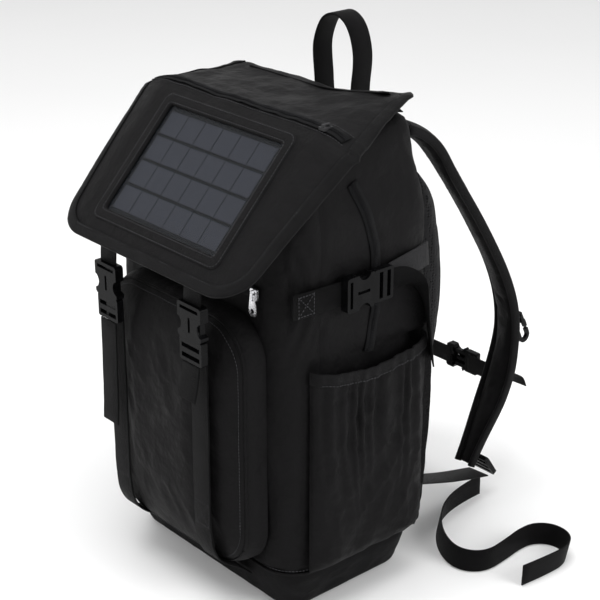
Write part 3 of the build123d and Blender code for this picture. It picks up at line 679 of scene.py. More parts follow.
# %% Body skin
AROUND, UP, CAP = 230, 110, 34
columns = plan(0.0, AROUND)
rows = []
for level in range(UP + 1):
    ring = []
    for i, (flat_x, flat_y, normal) in enumerate(columns):
        rise = corner_rise(flat_x, RIDGE[0] - flat_y)
        top = min(BODY_TOP, under_lid(flat_y)) - 1.5 + rise
        z = SEAM_Z - 2 + (top - SEAM_Z + 2) * level / UP
        inset = ease(z, INSETS)
        edge = max(0.0, (z - top + 22) / 22)
        inset += 11 * (1 - math.sqrt(max(0.0, 1 - edge * edge)))
        out = body_fold(flat_x, flat_y, z, normal) * (1 - 0.6 * edge)
        if pocket_room(flat_x, flat_y, z):
            out = min(out, 0.0) - 0.6
        if normal.y > 0.7:
            out = min(out, 0.8)
        out -= 2.0 * bell(z, SEAM_Z, 3.0)
        ring.append(vec(flat_x + normal.x * (out - inset), flat_y + normal.y * (out - inset), z))
    rows.append(ring)
centre = Vector((0.0, (BODY_FRONT + BODY_BACK) / 2 * MM))
for step in range(1, CAP + 1):
    share = 1 - step / CAP
    ring = []
    for spot in rows[UP]:
        x = spot.x * share
        y = centre.y + (spot.y - centre.y) * share
        slope_z = under_lid(y / MM) - 1.5
        lump = 2.0 * noise.noise(Vector((x * 14, y * 14, 1.0))) - 2.0
        dome = BODY_TOP + (4.0 * (1 - share) if y / MM > 40 else 0.0) + lump * (1 - share)
        rise = corner_rise(x / MM, RIDGE[0] - y / MM)
        ring.append(Vector((x, y, (min(dome - 1.5, slope_z + min(0.0, lump)) + rise) * MM)))
    rows.append(ring)
body_cloth = skin("body_cloth", rows, pack_cloth, around=True)
place(body_cloth, "bag", "pack_cloth", "front_panel", "corner_panels", "side_panel_right",
      "side_panel_left", "back_panel", "top_cover")
print("body skin has", len(body_cloth.data.polygons), "faces")

# %% [markdown]
# ## The base boot
# A tougher, coarser cloth wraps the bottom 45 mm. It is drawn in towards the floor and a
# little proud of the body, with a corded seam where the two meet.

# %% Boot and its corded seam
BOOT_ROWS, BOOT_PROUD = 16, 1.4
rows = []
for level in range(BOOT_ROWS + 1):
    z = SEAM_Z * (1 - level / BOOT_ROWS)
    roll = max(0.0, 1 - z / 9.0)
    ring = []
    for flat_x, flat_y, normal in columns:
        out = BOOT_PROUD + 1.4 * creases(flat_x, flat_y, z * 2.0, 30, 1.0, 4.4) * math.sin(math.pi * z / SEAM_Z)
        out -= ease(z, INSETS) + 7 * roll * roll
        ring.append(vec(flat_x + normal.x * out, flat_y + normal.y * out, z))
    rows.append(ring)
for step in range(1, 13):
    rows.append([Vector((p.x * (1 - step / 12), centre.y + (p.y - centre.y) * (1 - step / 12), 0.0)) for p in rows[BOOT_ROWS]])
boot = skin("base_boot_cloth", [list(reversed(r)) for r in rows], boot_cloth, around=True)
place(boot, "bag", "boot_cloth", "base_boot")


def piping(name, line, radius, finish, closed=False, sides=8):
    """A thin round cord along a line."""
    rows = []
    count = len(line)
    for i, here in enumerate(line):
        ahead = line[(i + 1) % count] if closed else line[min(i + 1, count - 1)]
        behind = line[i - 1] if closed else line[max(i - 1, 0)]
        run = (ahead - behind).normalized()
        side = run.cross(Z if abs(run.z) < 0.9 else X).normalized()
        other = run.cross(side)
        turns = [2 * math.pi * k / sides for k in range(sides)]
        rows.append([here + (side * math.cos(a) + other * math.sin(a)) * radius for a in turns])
    if closed:
        rows.append(rows[0])
    return skin(name, rows, finish, around=True, caps=not closed)


seam_line = [vec(x + n.x * (0.8 - 4), y + n.y * (0.8 - 4), SEAM_Z) for x, y, n in columns]
boot_piping = place(piping("boot_piping", seam_line, 0.0014, pack_cloth, closed=True), "bag", "pack_cloth")
print("boot with", len(boot.data.polygons), "faces and its piping")

# %% [markdown]
# ## The front pocket
# A big rounded pocket bulges ahead of the front. Its outline is a rounded rectangle, and its
# depth rises quickly from the seam and then flattens, as filled cloth does. The two front
# straps press soft valleys into it, and the cloth between them swells.

# %% Front pocket
pocket_low, pocket_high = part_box("front_pocket")
POCKET_HALF = pocket_high.x / MM
POCKET_FLOOR, POCKET_TOP = pocket_low.z / MM, pocket_high.z / MM
POCKET_FACE = pocket_high.y / MM
POCKET_DEPTH = POCKET_FACE - pocket_low.y / MM
POCKET_CORNER = 46.0
STRAP_X = (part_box("front_strap_right")[0].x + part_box("front_strap_right")[1].x) / 2 / MM


def rounded_outline(half_x, low, high, radius, count):
    """Points round an upright rounded rectangle: x and z."""
    half_z, middle = (high - low) / 2, (high + low) / 2
    straight_x, straight_z, arc = 2 * (half_x - radius), 2 * (half_z - radius), radius * math.pi / 2
    total = 2 * (straight_x + straight_z) + 4 * arc
    spots = []
    for i in range(count):
        left = total * i / count
        for turn, straight in enumerate((straight_z, straight_x, straight_z, straight_x)):
            if left < straight + arc:
                break
            left -= straight + arc
        angle = turn * math.pi / 2
        reach = half_x if turn % 2 == 0 else half_z
        if left < straight:
            spot = Matrix.Rotation(angle, 2) @ Vector((reach, left - straight / 2))
        else:
            bend = angle + (left - straight) / radius
            signs = [(1, 1), (-1, 1), (-1, -1), (1, -1)][turn]
            corner = Vector((signs[0] * (half_x - radius), signs[1] * (half_z - radius)))
            spot = corner + Vector((math.cos(bend), math.sin(bend))) * radius
        spots.append((spot.x, spot.y + middle))
    return spots


def pocket_depth(share, x, z):
    """How far the pocket stands out at a share of the way from its middle to its edge."""
    depth = POCKET_DEPTH * (1 - min(1.0, share) ** 3.2) ** (1 / 3.2)
    fill = 1 - min(1.0, share) ** 4
    press = bell(abs(x), STRAP_X, 15) * fill
    swell = bell(x, 0, 46) * bell(z, 170, 90) * fill
    depth += 2.6 * swell - 3.2 * press
    depth += fill * 1.5 * creases(x, 0.0, z, 38, 3.0, 7.0)
    depth += fill * 0.9 * creases(x + 0.4 * z, 0.0, z, 20, 1.6, 3.0)
    if z > POCKET_TOP - 70:
        depth += fill * 1.6 * (z - POCKET_TOP + 70) / 70 * creases(x * 1.6, 0.0, z, 26, 4.0, 12.0)
    return max(0.0, min(depth, POCKET_DEPTH + 2.4))


def pocket_point(outline_x, outline_z, share):
    """A point of the pocket's cloth on the way from its middle to its outline."""
    middle = (POCKET_TOP + POCKET_FLOOR) / 2
    x = outline_x * share
    z = middle + (outline_z - middle) * share
    return vec(x, POCKET_FACE - pocket_depth(share, x, z), z)


outline = rounded_outline(POCKET_HALF, POCKET_FLOOR, POCKET_TOP, POCKET_CORNER, 220)
RINGS = 64
rows = []
for ring in range(RINGS + 1):
    share = 1 - (ring / RINGS) ** 1.5
    rows.append([pocket_point(x, z, share) for x, z in outline])
front_pocket = skin("front_pocket_cloth", [list(reversed(r)) for r in rows], pack_cloth, around=True)
place(front_pocket, "bag", "pack_cloth", "front_pocket")

EDGE_SHARE = 0.965
edge_line = [pocket_point(x, z, EDGE_SHARE) + Vector((0, -0.0006, 0)) for x, z in outline]
pocket_piping = place(piping("pocket_piping", edge_line, 0.0013, pack_cloth, closed=True), "bag", "pack_cloth")
print("front pocket stands", round(POCKET_DEPTH, 1), "mm ahead of the body")

# %% [markdown]
# ## The side pockets
# A stretch hem gathers each bottle pocket, so the cloth below it falls in many small folds
# that melt into a few wide ones. The pocket stays open at the top. Its wall gets its
# thickness from Solidify, so the inside shows when one looks down into it.

# %% Side pockets with gathered hems
side_low, side_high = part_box("side_pocket_right")
BOTTLE_FRONT, BOTTLE_BACK = side_low.y / MM, side_high.y / MM
BOTTLE_IN, BOTTLE_OUT = side_low.x / MM, side_high.x / MM
BOTTLE_FLOOR = side_low.z / MM
BOTTLE_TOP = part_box("side_pocket_hems")[1].z / MM
HEM = 13.0


def bottle_point(along, up, lift=0.0):
    """A point of the pocket's cloth: along from front to back, up from floor to hem."""
    y = BOTTLE_FRONT + (BOTTLE_BACK - BOTTLE_FRONT) * along
    dip = 9.0 * math.sin(math.pi * along) ** 1.3
    z = BOTTLE_FLOOR + (BOTTLE_TOP - dip - BOTTLE_FLOOR) * up
    edge = min(along, 1 - along)
    round_off = (1 - max(0.0, 1 - edge / 0.16) ** 2.2) ** 0.5
    floor_off = (1 - max(0.0, 1 - up / 0.13) ** 2.2) ** 0.5
    depth = (BOTTLE_OUT - BOTTLE_IN) * round_off * floor_off
    gather = 2.6 * math.sin(math.pi * min(1.0, up) ** 3) + 0.5 * up + 0.5 * up**8
    wander = 13.0 * noise.noise(Vector((along * 4.3, up * 1.6, 0.6)))
    uneven = 0.62 + 0.8 * noise.noise(Vector((along * 9.0, up * 0.8, 4.1)))
    depth += gather * uneven * math.sin(2 * math.pi * (y + wander) / 13.5) * round_off
    wide = creases(0.0, y - 0.42 * z, z * 0.5, 30, 1.0, 1.3)
    depth += 3.4 * wide * round_off * floor_off * (1 - 0.55 * up) - 1.4
    depth += 1.3 * creases(0.0, y + 0.7 * z, z, 17, 1.0, 8.3) * round_off * floor_off
    return vec(BOTTLE_IN + max(0.3, depth) + lift, y, z)


ALONG, BOTTLE_UP = 96, 84
rows = [[bottle_point(i / ALONG, j / BOTTLE_UP) for i in range(ALONG + 1)] for j in range(BOTTLE_UP + 1)]


def both_sides(name, grid, finish, thickness):
    """A skin for the right side and its mirror for the left, thickened inwards."""
    right = skin(name + "_right", grid, finish)
    left = skin(name + "_left", [list(reversed(mirror_points(r))) for r in grid], finish)
    return [thicken(right, thickness), thicken(left, thickness)]


for piece, hand in zip(both_sides("bottle_pocket", rows, pack_cloth, 0.0011), ("right", "left")):
    place(piece, "bag", "pack_cloth", "side_pocket_" + hand)

hem_line = [bottle_point(i / ALONG, 1.0, 0.5) - Vector((0, 0, HEM / 2 * MM - 0.001)) for i in range(ALONG + 1)]
hems = [strap("pocket_hem", hem_line, Z, HEM * MM, 0.0024, binding_tape)]
hems.append(strap("pocket_hem_left", mirror_points(hem_line), Z, HEM * MM, 0.0024, binding_tape))
place(join("pocket_hems", hems), "bag", "binding_tape", "side_pocket_hems")
print("side pockets open at", BOTTLE_TOP, "mm")

# %% [markdown]
# ## The lid
# One cloth skin runs from the hinge seam over the ridge and down the slope. Any spot on it
# is named by x, across the pack, and by its distance down from the ridge, which is negative
# on the level part. One function turns that into a place in the room, so the cloth, the
# lining, the tape round the edge and the stitches all follow the same ridge and droop.

# %% Lid surface
DROP, HALF_RIDGE, HALF_LOW = 172.0, 156.0, 134.0
LOW_CORNER = 34.0
RIDGE_REACH = 12.0
RIDGE_RADIUS = RIDGE_REACH / math.tan(SLOPE / 2)
DROOP_FROM, DROOP = 108.0, 16.0
WINDOW_TOP, WINDOW_LOW, WINDOW_HALF = 21.0, 139.0, 83.0


def half_width(down):
    """Half the lid's width at a distance down from the ridge."""
    if down < 0:
        half = HALF_RIDGE + (HALF_BACK - HALF_RIDGE) * (-down / LEVEL)
        return half - 8.0 * max(0.0, (-down - LEVEL + 8) / 8) ** 2
    half = HALF_RIDGE + (HALF_LOW - HALF_RIDGE) * down / DROP
    into = max(0.0, down - (DROP - LOW_CORNER))
    return half - (LOW_CORNER - math.sqrt(max(0.0, LOW_CORNER**2 - into**2)))


def lid_profile(down):
    """Side view of the lid: y, z and the outward direction."""
    if down <= -RIDGE_REACH:
        return RIDGE[0] - down, RIDGE[1] - 0.5, 0.0
    if down >= RIDGE_REACH:
        return RIDGE[0] - down * math.cos(SLOPE), RIDGE[1] - down * math.sin(SLOPE), SLOPE
    angle = SLOPE * (down + RIDGE_REACH) / (2 * RIDGE_REACH)
    y = RIDGE[0] + RIDGE_REACH - RIDGE_RADIUS * math.sin(angle)
    return y, RIDGE[1] - 0.5 - RIDGE_RADIUS * (1 - math.cos(angle)), angle


def lid_at(x, down, lift=0.0):
    """A place on the lid, lifted off it by some millimetres."""
    y, z, angle = lid_profile(down)
    normal = Vector((0.0, -math.sin(angle), math.cos(angle)))
    past = max(0.0, abs(x) - DROOP_FROM) / 48.0
    fall = DROOP * past**1.7 * (1 - 0.35 * max(0.0, down) / DROP)
    flat = bell(down, (WINDOW_TOP + WINDOW_LOW) / 2, 62) * (1.0 if abs(x) < 100 else bell(abs(x), 100, 12))
    rumple = 1.5 * creases(x, down * 1.3, 0.0, 44, 1.0, 6.6) + 0.8 * creases(x * 0.8, down * 2.0, 0.0, 22, 1.0, 3.1)
    if down < -20:
        rumple += 1.5 * noise.noise(Vector((x / 40, down / 30, 8.0))) - 0.5
    sag = rumple * (1 - flat) * (0.35 if down > 0 else 1.0)
    return vec(x, y, z) + normal * ((lift - fall + sag) * MM) + Z * (corner_rise(x, down) * MM)


def spread(low, high, count):
    """Evenly spaced values, without the last one."""
    return [low + (high - low) * i / count for i in range(count)]


downs = spread(-LEVEL, -RIDGE_REACH, 26) + spread(-RIDGE_REACH, RIDGE_REACH, 12)
downs += spread(RIDGE_REACH, WINDOW_TOP, 4) + spread(WINDOW_TOP, WINDOW_LOW, 30)
downs += [DROP - (DROP - WINDOW_LOW) * (1 - i / 18) ** 1.6 for i in range(19)]
INNER, OUTER = 24, 18


def lid_columns(down):
    """x of each column: even across the window, then stretched to the edge."""
    half = half_width(down)
    right = [WINDOW_HALF + (half - WINDOW_HALF) * i / OUTER for i in range(OUTER + 1)]
    middle = spread(-WINDOW_HALF, WINDOW_HALF, INNER)
    return [-x for x in reversed(right[1:])] + middle + right


def in_window(row, column):
    """True for the faces cut out for the window."""
    inside = OUTER <= column < OUTER + INNER
    return inside and WINDOW_TOP - 0.1 <= downs[row] < WINDOW_LOW - 0.1


rows = [[lid_at(x, d) for x in lid_columns(d)] for d in downs]
lid_skin = skin("lid_cover_cloth", rows, lid_cloth, leave_out=in_window)
lid_skin.data.flip_normals()
thicken(lid_skin, 0.0014)
place(lid_skin, "lid", "pack_cloth", "lid_cover", "lid_top")


def lining_depth(x, down):
    """How far the lining hangs below the cover."""
    def rise(value, over):
        t = max(0.0, min(1.0, value / over))
        return t * t * (3 - 2 * t)

    pouch = rise(half_width(down) - abs(x) - 10, 20) * rise(down + 4, 22) * rise(DROP - 10 - down, 20)
    return 1.9 + 9.6 * pouch


rows = [[lid_at(x, d, -lining_depth(x, d)) for x in lid_columns(d)] for d in downs]
lid_lining = place(skin("lid_lining_cloth", rows, lining_cloth), "lid", "lining_cloth", "lid_lining")
print("lid skin has", len(lid_skin.data.polygons), "faces")

# %% [markdown]
# ### Edge tape
# A folded tape binds the raw edge of the lid, as on most flaps. The tape is walked round the
# outline: at each step the lid's own function gives the spots 10 mm in from the edge, on the
# face and below, so that the tape droops and bends exactly as the cloth does.

# %% Tape round the lid
def lid_outline():
    """Spots round the lid from the back left corner to the back right: x and down."""
    right = [(half_width(d), d) for d in downs]
    low = [(x, DROP) for x in spread(half_width(DROP), -half_width(DROP), 26)[1:]]
    return [(-x, d) for x, d in right] + [(-x, d) for x, d in low] + [(x, d) for x, d in reversed(right)]


TAPE_WIDTH = 10.0
TAPE_FOLD = [(TAPE_WIDTH, 0.5), (6.0, 0.9), (1.6, 0.9), (-0.7, 0.3), (-0.9, -1.0), (1.6, -2.8), (TAPE_WIDTH, -2.6)]


def bind_edge(name, spots, fold, finish):
    """A folded tape along the lid's outline, with its map in metres."""
    rows, gone, distance = [], [], 0.0
    for i, (x, d) in enumerate(spots):
        ahead, behind = spots[min(i + 1, len(spots) - 1)], spots[max(i - 1, 0)]
        run = Vector((ahead[0] - behind[0], ahead[1] - behind[1])).normalized()
        inward = Vector((run.y, -run.x))
        rows.append([lid_at(x + inward.x * a, d + inward.y * a, b) for a, b in fold])
        gone.append(distance)
        if i + 1 < len(spots):
            distance += (lid_at(*spots[i + 1]) - lid_at(x, d)).length
    made = skin(name, rows, finish)
    layer = made.data.uv_layers.new(name="cloth_map")
    for loop in made.data.loops:
        row, spot = divmod(loop.vertex_index, len(fold))
        layer.data[loop.index].uv = (fold[spot][0] * MM, gone[row])
    return made


spots = lid_outline()
lid_tape = bind_edge("lid_binding_tape", spots, TAPE_FOLD, binding_tape)
lid_tape.data.flip_normals()
thicken(lid_tape, 0.0006)
place(lid_tape, "lid", "binding_tape", "lid_binding", "lid_edge_tapes")
print("edge tape passes", len(spots), "spots")


# %% [markdown]
# ### Window frame, cells and film
# The window's raw edge is covered by a padded cloth frame. The cells behind it repeat in a
# plain grid, which is a job for Geometry Nodes: points on a grid, one cell on each point,
# and the whole sheet turned into the slope at the end.

# %% Window frame
def frame_loop(margin, lift):
    """A rounded rectangle round the window, grown by a margin."""
    low, high = WINDOW_TOP - margin, WINDOW_LOW + margin
    ring = rounded_outline(WINDOW_HALF + margin, low, high, 3.0 + margin * 0.5, 200)
    cos, sin = math.cos(SLOPE), math.sin(SLOPE)
    return [vec(x, RIDGE[0] - d * cos - lift * sin, RIDGE[1] - d * sin + lift * cos) for x, d in ring]


FRAME_FOLD = [(0.0, -2.3), (0.1, 0.6), (1.2, 1.7), (4.0, 2.2), (8.0, 2.1), (11.2, 1.5), (12.6, 0.3), (12.8, -0.8)]
window_frame = skin("window_frame_cloth", [frame_loop(m, h) for m, h in FRAME_FOLD], lid_cloth, around=True)
place(window_frame, "lid", "pack_cloth", "window_border")


# %% Geometry Nodes: one way to start every tree
def node_tree(name, sockets):
    """An empty geometry tree with named inputs."""
    tree = bpy.data.node_groups.new(name, "GeometryNodeTree")
    tree.interface.new_socket("Geometry", in_out="INPUT", socket_type="NodeSocketGeometry")
    for label, kind, value in sockets:
        made = tree.interface.new_socket(label, in_out="INPUT", socket_type=kind)
        if value is not None:
            made.default_value = value
    tree.interface.new_socket("Geometry", in_out="OUTPUT", socket_type="NodeSocketGeometry")
    return tree, tree.nodes.new("NodeGroupInput").outputs, tree.nodes.new("NodeGroupOutput").inputs


def ending(tree, geometry, inputs, outputs):
    """Every tree ends by making its copies real and giving them their finish."""
    real = tree.nodes.new("GeometryNodeRealizeInstances")
    dress = tree.nodes.new("GeometryNodeSetMaterial")
    tree.links.new(geometry, real.inputs["Geometry"])
    tree.links.new(real.outputs["Geometry"], dress.inputs["Geometry"])
    tree.links.new(inputs["Finish"], dress.inputs["Material"])
    tree.links.new(dress.outputs["Geometry"], outputs["Geometry"])


def grown(name, tree, host_mesh, values):
    """Run a tree on a host mesh and keep the result as a plain mesh."""
    host = bpy.data.objects.new(name, host_mesh)
    bpy.context.collection.objects.link(host)
    modifier = host.modifiers.new("grow", "NODES")
    modifier.node_group = tree
    for item in tree.interface.items_tree:
        if item.in_out == "INPUT" and item.name in values:
            modifier[item.identifier] = values[item.name]
    apply_modifiers(host)
    host.data.materials.clear()
    host.data.materials.append(values["Finish"])
    print(name, "has", len(host.data.polygons), "faces")
    return host


# %% The sheet of cells
def cell_sheet_tree():
    """A grid of thin cells."""
    tree, given, out = node_tree("cell_sheet", [
        ("Columns", "NodeSocketInt", 6), ("Rows", "NodeSocketInt", 4),
        ("Width", "NodeSocketFloat", 0.166), ("Height", "NodeSocketFloat", 0.118),
        ("Cell", "NodeSocketVector", None), ("Finish", "NodeSocketMaterial", None)])
    grid = tree.nodes.new("GeometryNodeMeshGrid")
    box = tree.nodes.new("GeometryNodeMeshCube")
    copies = tree.nodes.new("GeometryNodeInstanceOnPoints")
    for label, socket in (("Width", "Size X"), ("Height", "Size Y"), ("Columns", "Vertices X"), ("Rows", "Vertices Y")):
        tree.links.new(given[label], grid.inputs[socket])
    tree.links.new(given["Cell"], box.inputs["Size"])
    tree.links.new(grid.outputs["Mesh"], copies.inputs["Points"])
    tree.links.new(box.outputs["Mesh"], copies.inputs["Instance"])
    ending(tree, copies.outputs["Instances"], given, out)
    return tree


COLUMNS, ROWS, CELL_GAP, BUS_GAP = 6, 4, 1.1, 3.6
SHEET_MARGIN = 5.0
sheet_wide, sheet_high = 2 * (WINDOW_HALF - SHEET_MARGIN), WINDOW_LOW - WINDOW_TOP - 2 * SHEET_MARGIN
cell_wide = (sheet_wide - (COLUMNS - 1) * CELL_GAP) / COLUMNS
cell_high = (sheet_high - (ROWS - 1) * BUS_GAP) / ROWS
cells = grown("solar_cell_sheet", cell_sheet_tree(), bpy.data.meshes.new("cell_host"), {
    "Columns": COLUMNS, "Rows": ROWS, "Finish": cell_silicon,
    "Width": (sheet_wide - cell_wide) * MM, "Height": (sheet_high - cell_high) * MM,
    "Cell": (cell_wide * MM, cell_high * MM, 0.0002)})
CELL_DEPTH = 2.0
window_middle = (WINDOW_TOP + WINDOW_LOW) / 2
sheet_place = vec(
    0.0,
    RIDGE[0] - window_middle * math.cos(SLOPE) + CELL_DEPTH * math.sin(SLOPE),
    RIDGE[1] - window_middle * math.sin(SLOPE) - CELL_DEPTH * math.cos(SLOPE))
cells.data.transform(Matrix.Translation(sheet_place) @ Matrix.Rotation(SLOPE, 4, "X"))
place(cells, "lid", "cell_silicon", "solar_cells")


# %% Copies that follow a line: stitches and zip teeth
def along_tree():
    """Copies of a rounded lump, evenly spaced along edges and turned to follow them."""
    tree, given, out = node_tree("along_a_line", [
        ("Spacing", "NodeSocketFloat", 0.003), ("Lump", "NodeSocketVector", None),
        ("Finish", "NodeSocketMaterial", None)])
    to_curve = tree.nodes.new("GeometryNodeMeshToCurve")
    resample = tree.nodes.new("GeometryNodeResampleCurve")
    resample.mode = "LENGTH"
    tangent = tree.nodes.new("GeometryNodeInputTangent")
    outward = tree.nodes.new("GeometryNodeInputNamedAttribute")
    outward.data_type = "FLOAT_VECTOR"
    outward.inputs["Name"].default_value = "outward"
    lay = tree.nodes.new("FunctionNodeAlignRotationToVector")
    lay.axis = "X"
    stand = tree.nodes.new("FunctionNodeAlignRotationToVector")
    stand.axis = "Z"
    stand.pivot_axis = "X"
    ball = tree.nodes.new("GeometryNodeMeshUVSphere")
    ball.inputs["Segments"].default_value = 8
    ball.inputs["Rings"].default_value = 4
    ball.inputs["Radius"].default_value = 0.5
    copies = tree.nodes.new("GeometryNodeInstanceOnPoints")
    for start, end in (
        (given["Geometry"], to_curve.inputs["Mesh"]),
        (to_curve.outputs["Curve"], resample.inputs["Curve"]),
        (given["Spacing"], resample.inputs["Length"]),
        (resample.outputs["Curve"], copies.inputs["Points"]),
        (tangent.outputs["Tangent"], lay.inputs["Vector"]),
        (lay.outputs["Rotation"], stand.inputs["Rotation"]),
        (outward.outputs["Attribute"], stand.inputs["Vector"]),
        (stand.outputs["Rotation"], copies.inputs["Rotation"]),
        (ball.outputs["Mesh"], copies.inputs["Instance"]),
        (given["Lump"], copies.inputs["Scale"]),
    ):
        tree.links.new(start, end)
    ending(tree, copies.outputs["Instances"], given, out)
    return tree


copies_along = along_tree()


def line_host(lines):
    """Edges along several lines, each point knowing which way is outward."""
    points, edges, outwards = [], [], []
    for line, outward in lines:
        first = len(points)
        points += line
        edges += [(first + i, first + i + 1) for i in range(len(line) - 1)]
        outwards += outward if isinstance(outward, list) else [outward] * len(line)
    mesh = bpy.data.meshes.new("line_host")
    mesh.from_pydata([tuple(p) for p in points], edges, [])
    facing = mesh.attributes.new("outward", "FLOAT_VECTOR", "POINT")
    facing.data.foreach_set("vector", [c for o in outwards for c in o])
    return mesh


STITCH = {"Spacing": 0.0034, "Lump": (0.0026, 0.0008, 0.0006)}
TEETH = {"Spacing": 0.0016, "Lump": (0.0011, 0.0052, 0.0018)}


def copies_on(name, body, slot_name, lines, sizes, finish):
    """Copies along lines as one plain piece on its body."""
    made = grown(name, copies_along, line_host(lines), {**sizes, "Finish": finish})
    return place(made, body, slot_name)


thread = moulded("thread", (0.03, 0.03, 0.032, 1.0), 0.5, 0.00001)

# %% [markdown]
# ## Zips
# A coil zip is a tape with a row of nylon loops along its middle. The tapes are thin
# straps, and the loops are copies of one lump, set across the line at the coil's pitch.

# %% Zip tapes and teeth
ZIP_WIDTH = 0.012
LID_ZIP_DOWN = -11.0
zip_half = half_width(LID_ZIP_DOWN) - 12


def lid_facing(x, down):
    """The lid's outward direction at a spot."""
    run = lid_at(x + 1, down) - lid_at(x - 1, down)
    fall = lid_at(x, down + 1) - lid_at(x, down - 1)
    return fall.cross(run).normalized()


zip_spots = spread(-zip_half, zip_half, 70)
lid_zip_line = [lid_at(x, LID_ZIP_DOWN, 0.9) for x in zip_spots]
lid_zip_face = [lid_facing(x, LID_ZIP_DOWN) for x in zip_spots]
lid_zip_across = [f.cross(X).normalized() for f in lid_zip_face]
place(strap("lid_zip_tape", lid_zip_line, lid_zip_across, ZIP_WIDTH, 0.001, zip_tape), "lid", "zip_tape", "lid_zip")
lid_teeth = [p + f * 0.0008 for p, f in zip(lid_zip_line, lid_zip_face)]
copies_on("lid_zip_teeth", "lid", "buckle_plastic", [(lid_teeth, lid_zip_face)], TEETH, coil_plastic)

front_zip_low, front_zip_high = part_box("front_zip")
front_zip_z = (front_zip_low.z + front_zip_high.z) / 2
front_zip_line = [Vector((x, front_zip_low.y + 0.0006, front_zip_z)) for x in spread(front_zip_low.x, front_zip_high.x, 40)]
place(strap("front_zip_tape", front_zip_line, Z, ZIP_WIDTH, 0.0012, zip_tape), "bag", "zip_tape", "front_zip")
front_teeth = [p + Vector((0, -0.0006, 0)) for p in front_zip_line]

side_zip_low, side_zip_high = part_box("side_zips")
SIDE_ZIP = [(-16.0, 430.0), (1.0, 392.0), (12.0, 348.0), (11.0, 305.0), (3.0, 262.0)]


def on_side(y, z, lift):
    """A spot on the right side of the body's cloth."""
    near = min(columns, key=lambda c: (c[1] - y) ** 2 + (0 if c[0] > 0 else 1e9) + (0 if c[2].x > 0.9 else 1e6))
    out = body_fold(near[0], y, z, near[2]) - ease(z, INSETS)
    return vec(BODY_X + out + lift, y, z)


side_zip_route = curve_through([vec(0, y, z) for y, z in SIDE_ZIP], 12)
side_zip_line = [on_side(p.y / MM, p.z / MM, 0.9) for p in side_zip_route]
side_across = []
for i, here in enumerate(side_zip_line):
    run = side_zip_line[min(i + 1, len(side_zip_line) - 1)] - side_zip_line[max(i - 1, 0)]
    side_across.append(X.cross(run).normalized())
side_tapes = [strap("side_zip_tape", side_zip_line, side_across, ZIP_WIDTH, 0.001, zip_tape)]
side_tapes.append(strap("side_zip_tape_left", mirror_points(side_zip_line), mirror_points(side_across), ZIP_WIDTH, 0.001, zip_tape))
place(join("side_zip_tapes", side_tapes), "bag", "zip_tape", "side_zips")
side_teeth = [p + X * 0.0007 for p in side_zip_line]
bag_teeth = [(front_teeth, -Y), (side_teeth, X), (mirror_points(side_teeth), -X)]
copies_on("body_zip_teeth", "bag", "buckle_plastic", bag_teeth, TEETH, coil_plastic)

# %% [markdown]
# ## Webbing
# Straps are stiff across and limp along. Each one is a ribbon along a few chosen points,
# and where a loose end twists, its width direction turns along the way.

# %% Front straps and their loose ends
fork_low, fork_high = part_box("front_buckle_fork_right")
strap_low, strap_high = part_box("front_strap_right")
strap_y = strap_low.y / MM + 0.8


def front_strap_route():
    """Right front strap, from the fork down the pocket and under to the boot's seam."""
    spots = [(strap_y, fork_low.z / MM + 10), (strap_y, 230.0), (strap_y - 0.4, 150.0), (strap_y + 0.4, 92.0),
             (strap_y + 9.0, 62.0), (-110.0, 44.0), (-93.5, 30.0)]
    return curve_through([vec(STRAP_X, y, z) for y, z in spots], 9)


def fall_line(box_name, bow, steps=12):
    """A loose end that hangs straight down from its buckle, bowed a little."""
    low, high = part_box(box_name)
    x, y = (low.x + high.x) / 2, (low.y + high.y) / 2
    shares = [i / steps for i in range(steps + 1)]
    return [Vector((x, y - bow * math.sin(1.3 * s) * s, high.z + (low.z - high.z) * s)) for s in shares]


front_line = front_strap_route()
for hand, line in (("right", front_line), ("left", mirror_points(front_line))):
    piece = strap("front_webbing_" + hand, line, X, WEBBING, WEBBING_THICK, webbing_weave, wave=0.0006)
    place(piece, "bag", "webbing", "front_strap_" + hand)
    end = fall_line("front_strap_tail_" + hand, 0.006 if hand == "right" else 0.003)
    piece = strap("front_loose_end_" + hand, end, X, WEBBING, WEBBING_THICK, webbing_weave, wave=0.0008)
    place(piece, "front_fork_" + hand, "webbing", "front_strap_tail_" + hand)

hanger_low, hanger_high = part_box("front_buckle_hangers")
hanger_y = (hanger_low.y + hanger_high.y) / 2
hanger_line = [Vector((STRAP_X * MM, hanger_y + 0.002 * (i / 6) ** 2, hanger_low.z - 0.006 + (hanger_high.z - hanger_low.z + 0.006) * i / 6)) for i in range(7)]
hangers = [strap("buckle_hanger", hanger_line, X, WEBBING, WEBBING_THICK, webbing_weave)]
hangers.append(strap("buckle_hanger_left", mirror_points(hanger_line), X, WEBBING, WEBBING_THICK, webbing_weave))
place(join("buckle_hangers", hangers), "lid", "webbing", "front_buckle_hangers")

# %% Side straps
socket_low, socket_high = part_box("side_buckle_socket_right")
side_x = socket_low.x / MM - 2.0
front_part = [vec(side_x - 2.5, -90, STRAP_Z), vec(side_x - 1.0, -76, STRAP_Z), vec(side_x, -56, STRAP_Z),
              vec(side_x + 1.5, socket_low.y / MM + 6, STRAP_Z)]
rear_part = [vec(side_x + 1.5, 6, STRAP_Z), vec(side_x + 0.6, 26, STRAP_Z + 2), vec(side_x - 0.6, 54, STRAP_Z + 6),
             vec(side_x - 3.0, 80, STRAP_Z + 9)]
side_pieces = []
for route, weave in ((front_part, webbing_weave), (rear_part, side_webbing)):
    line = curve_through(route, 8)
    side_pieces.append(strap("side_strap_part", line, Z, WEBBING, WEBBING_THICK, weave, wave=0.0006))
    side_pieces.append(strap("side_strap_part_left", mirror_points(line), Z, WEBBING, WEBBING_THICK, weave, wave=0.0006))
place(join("side_webbing_straps", side_pieces), "bag", "webbing", "side_straps")

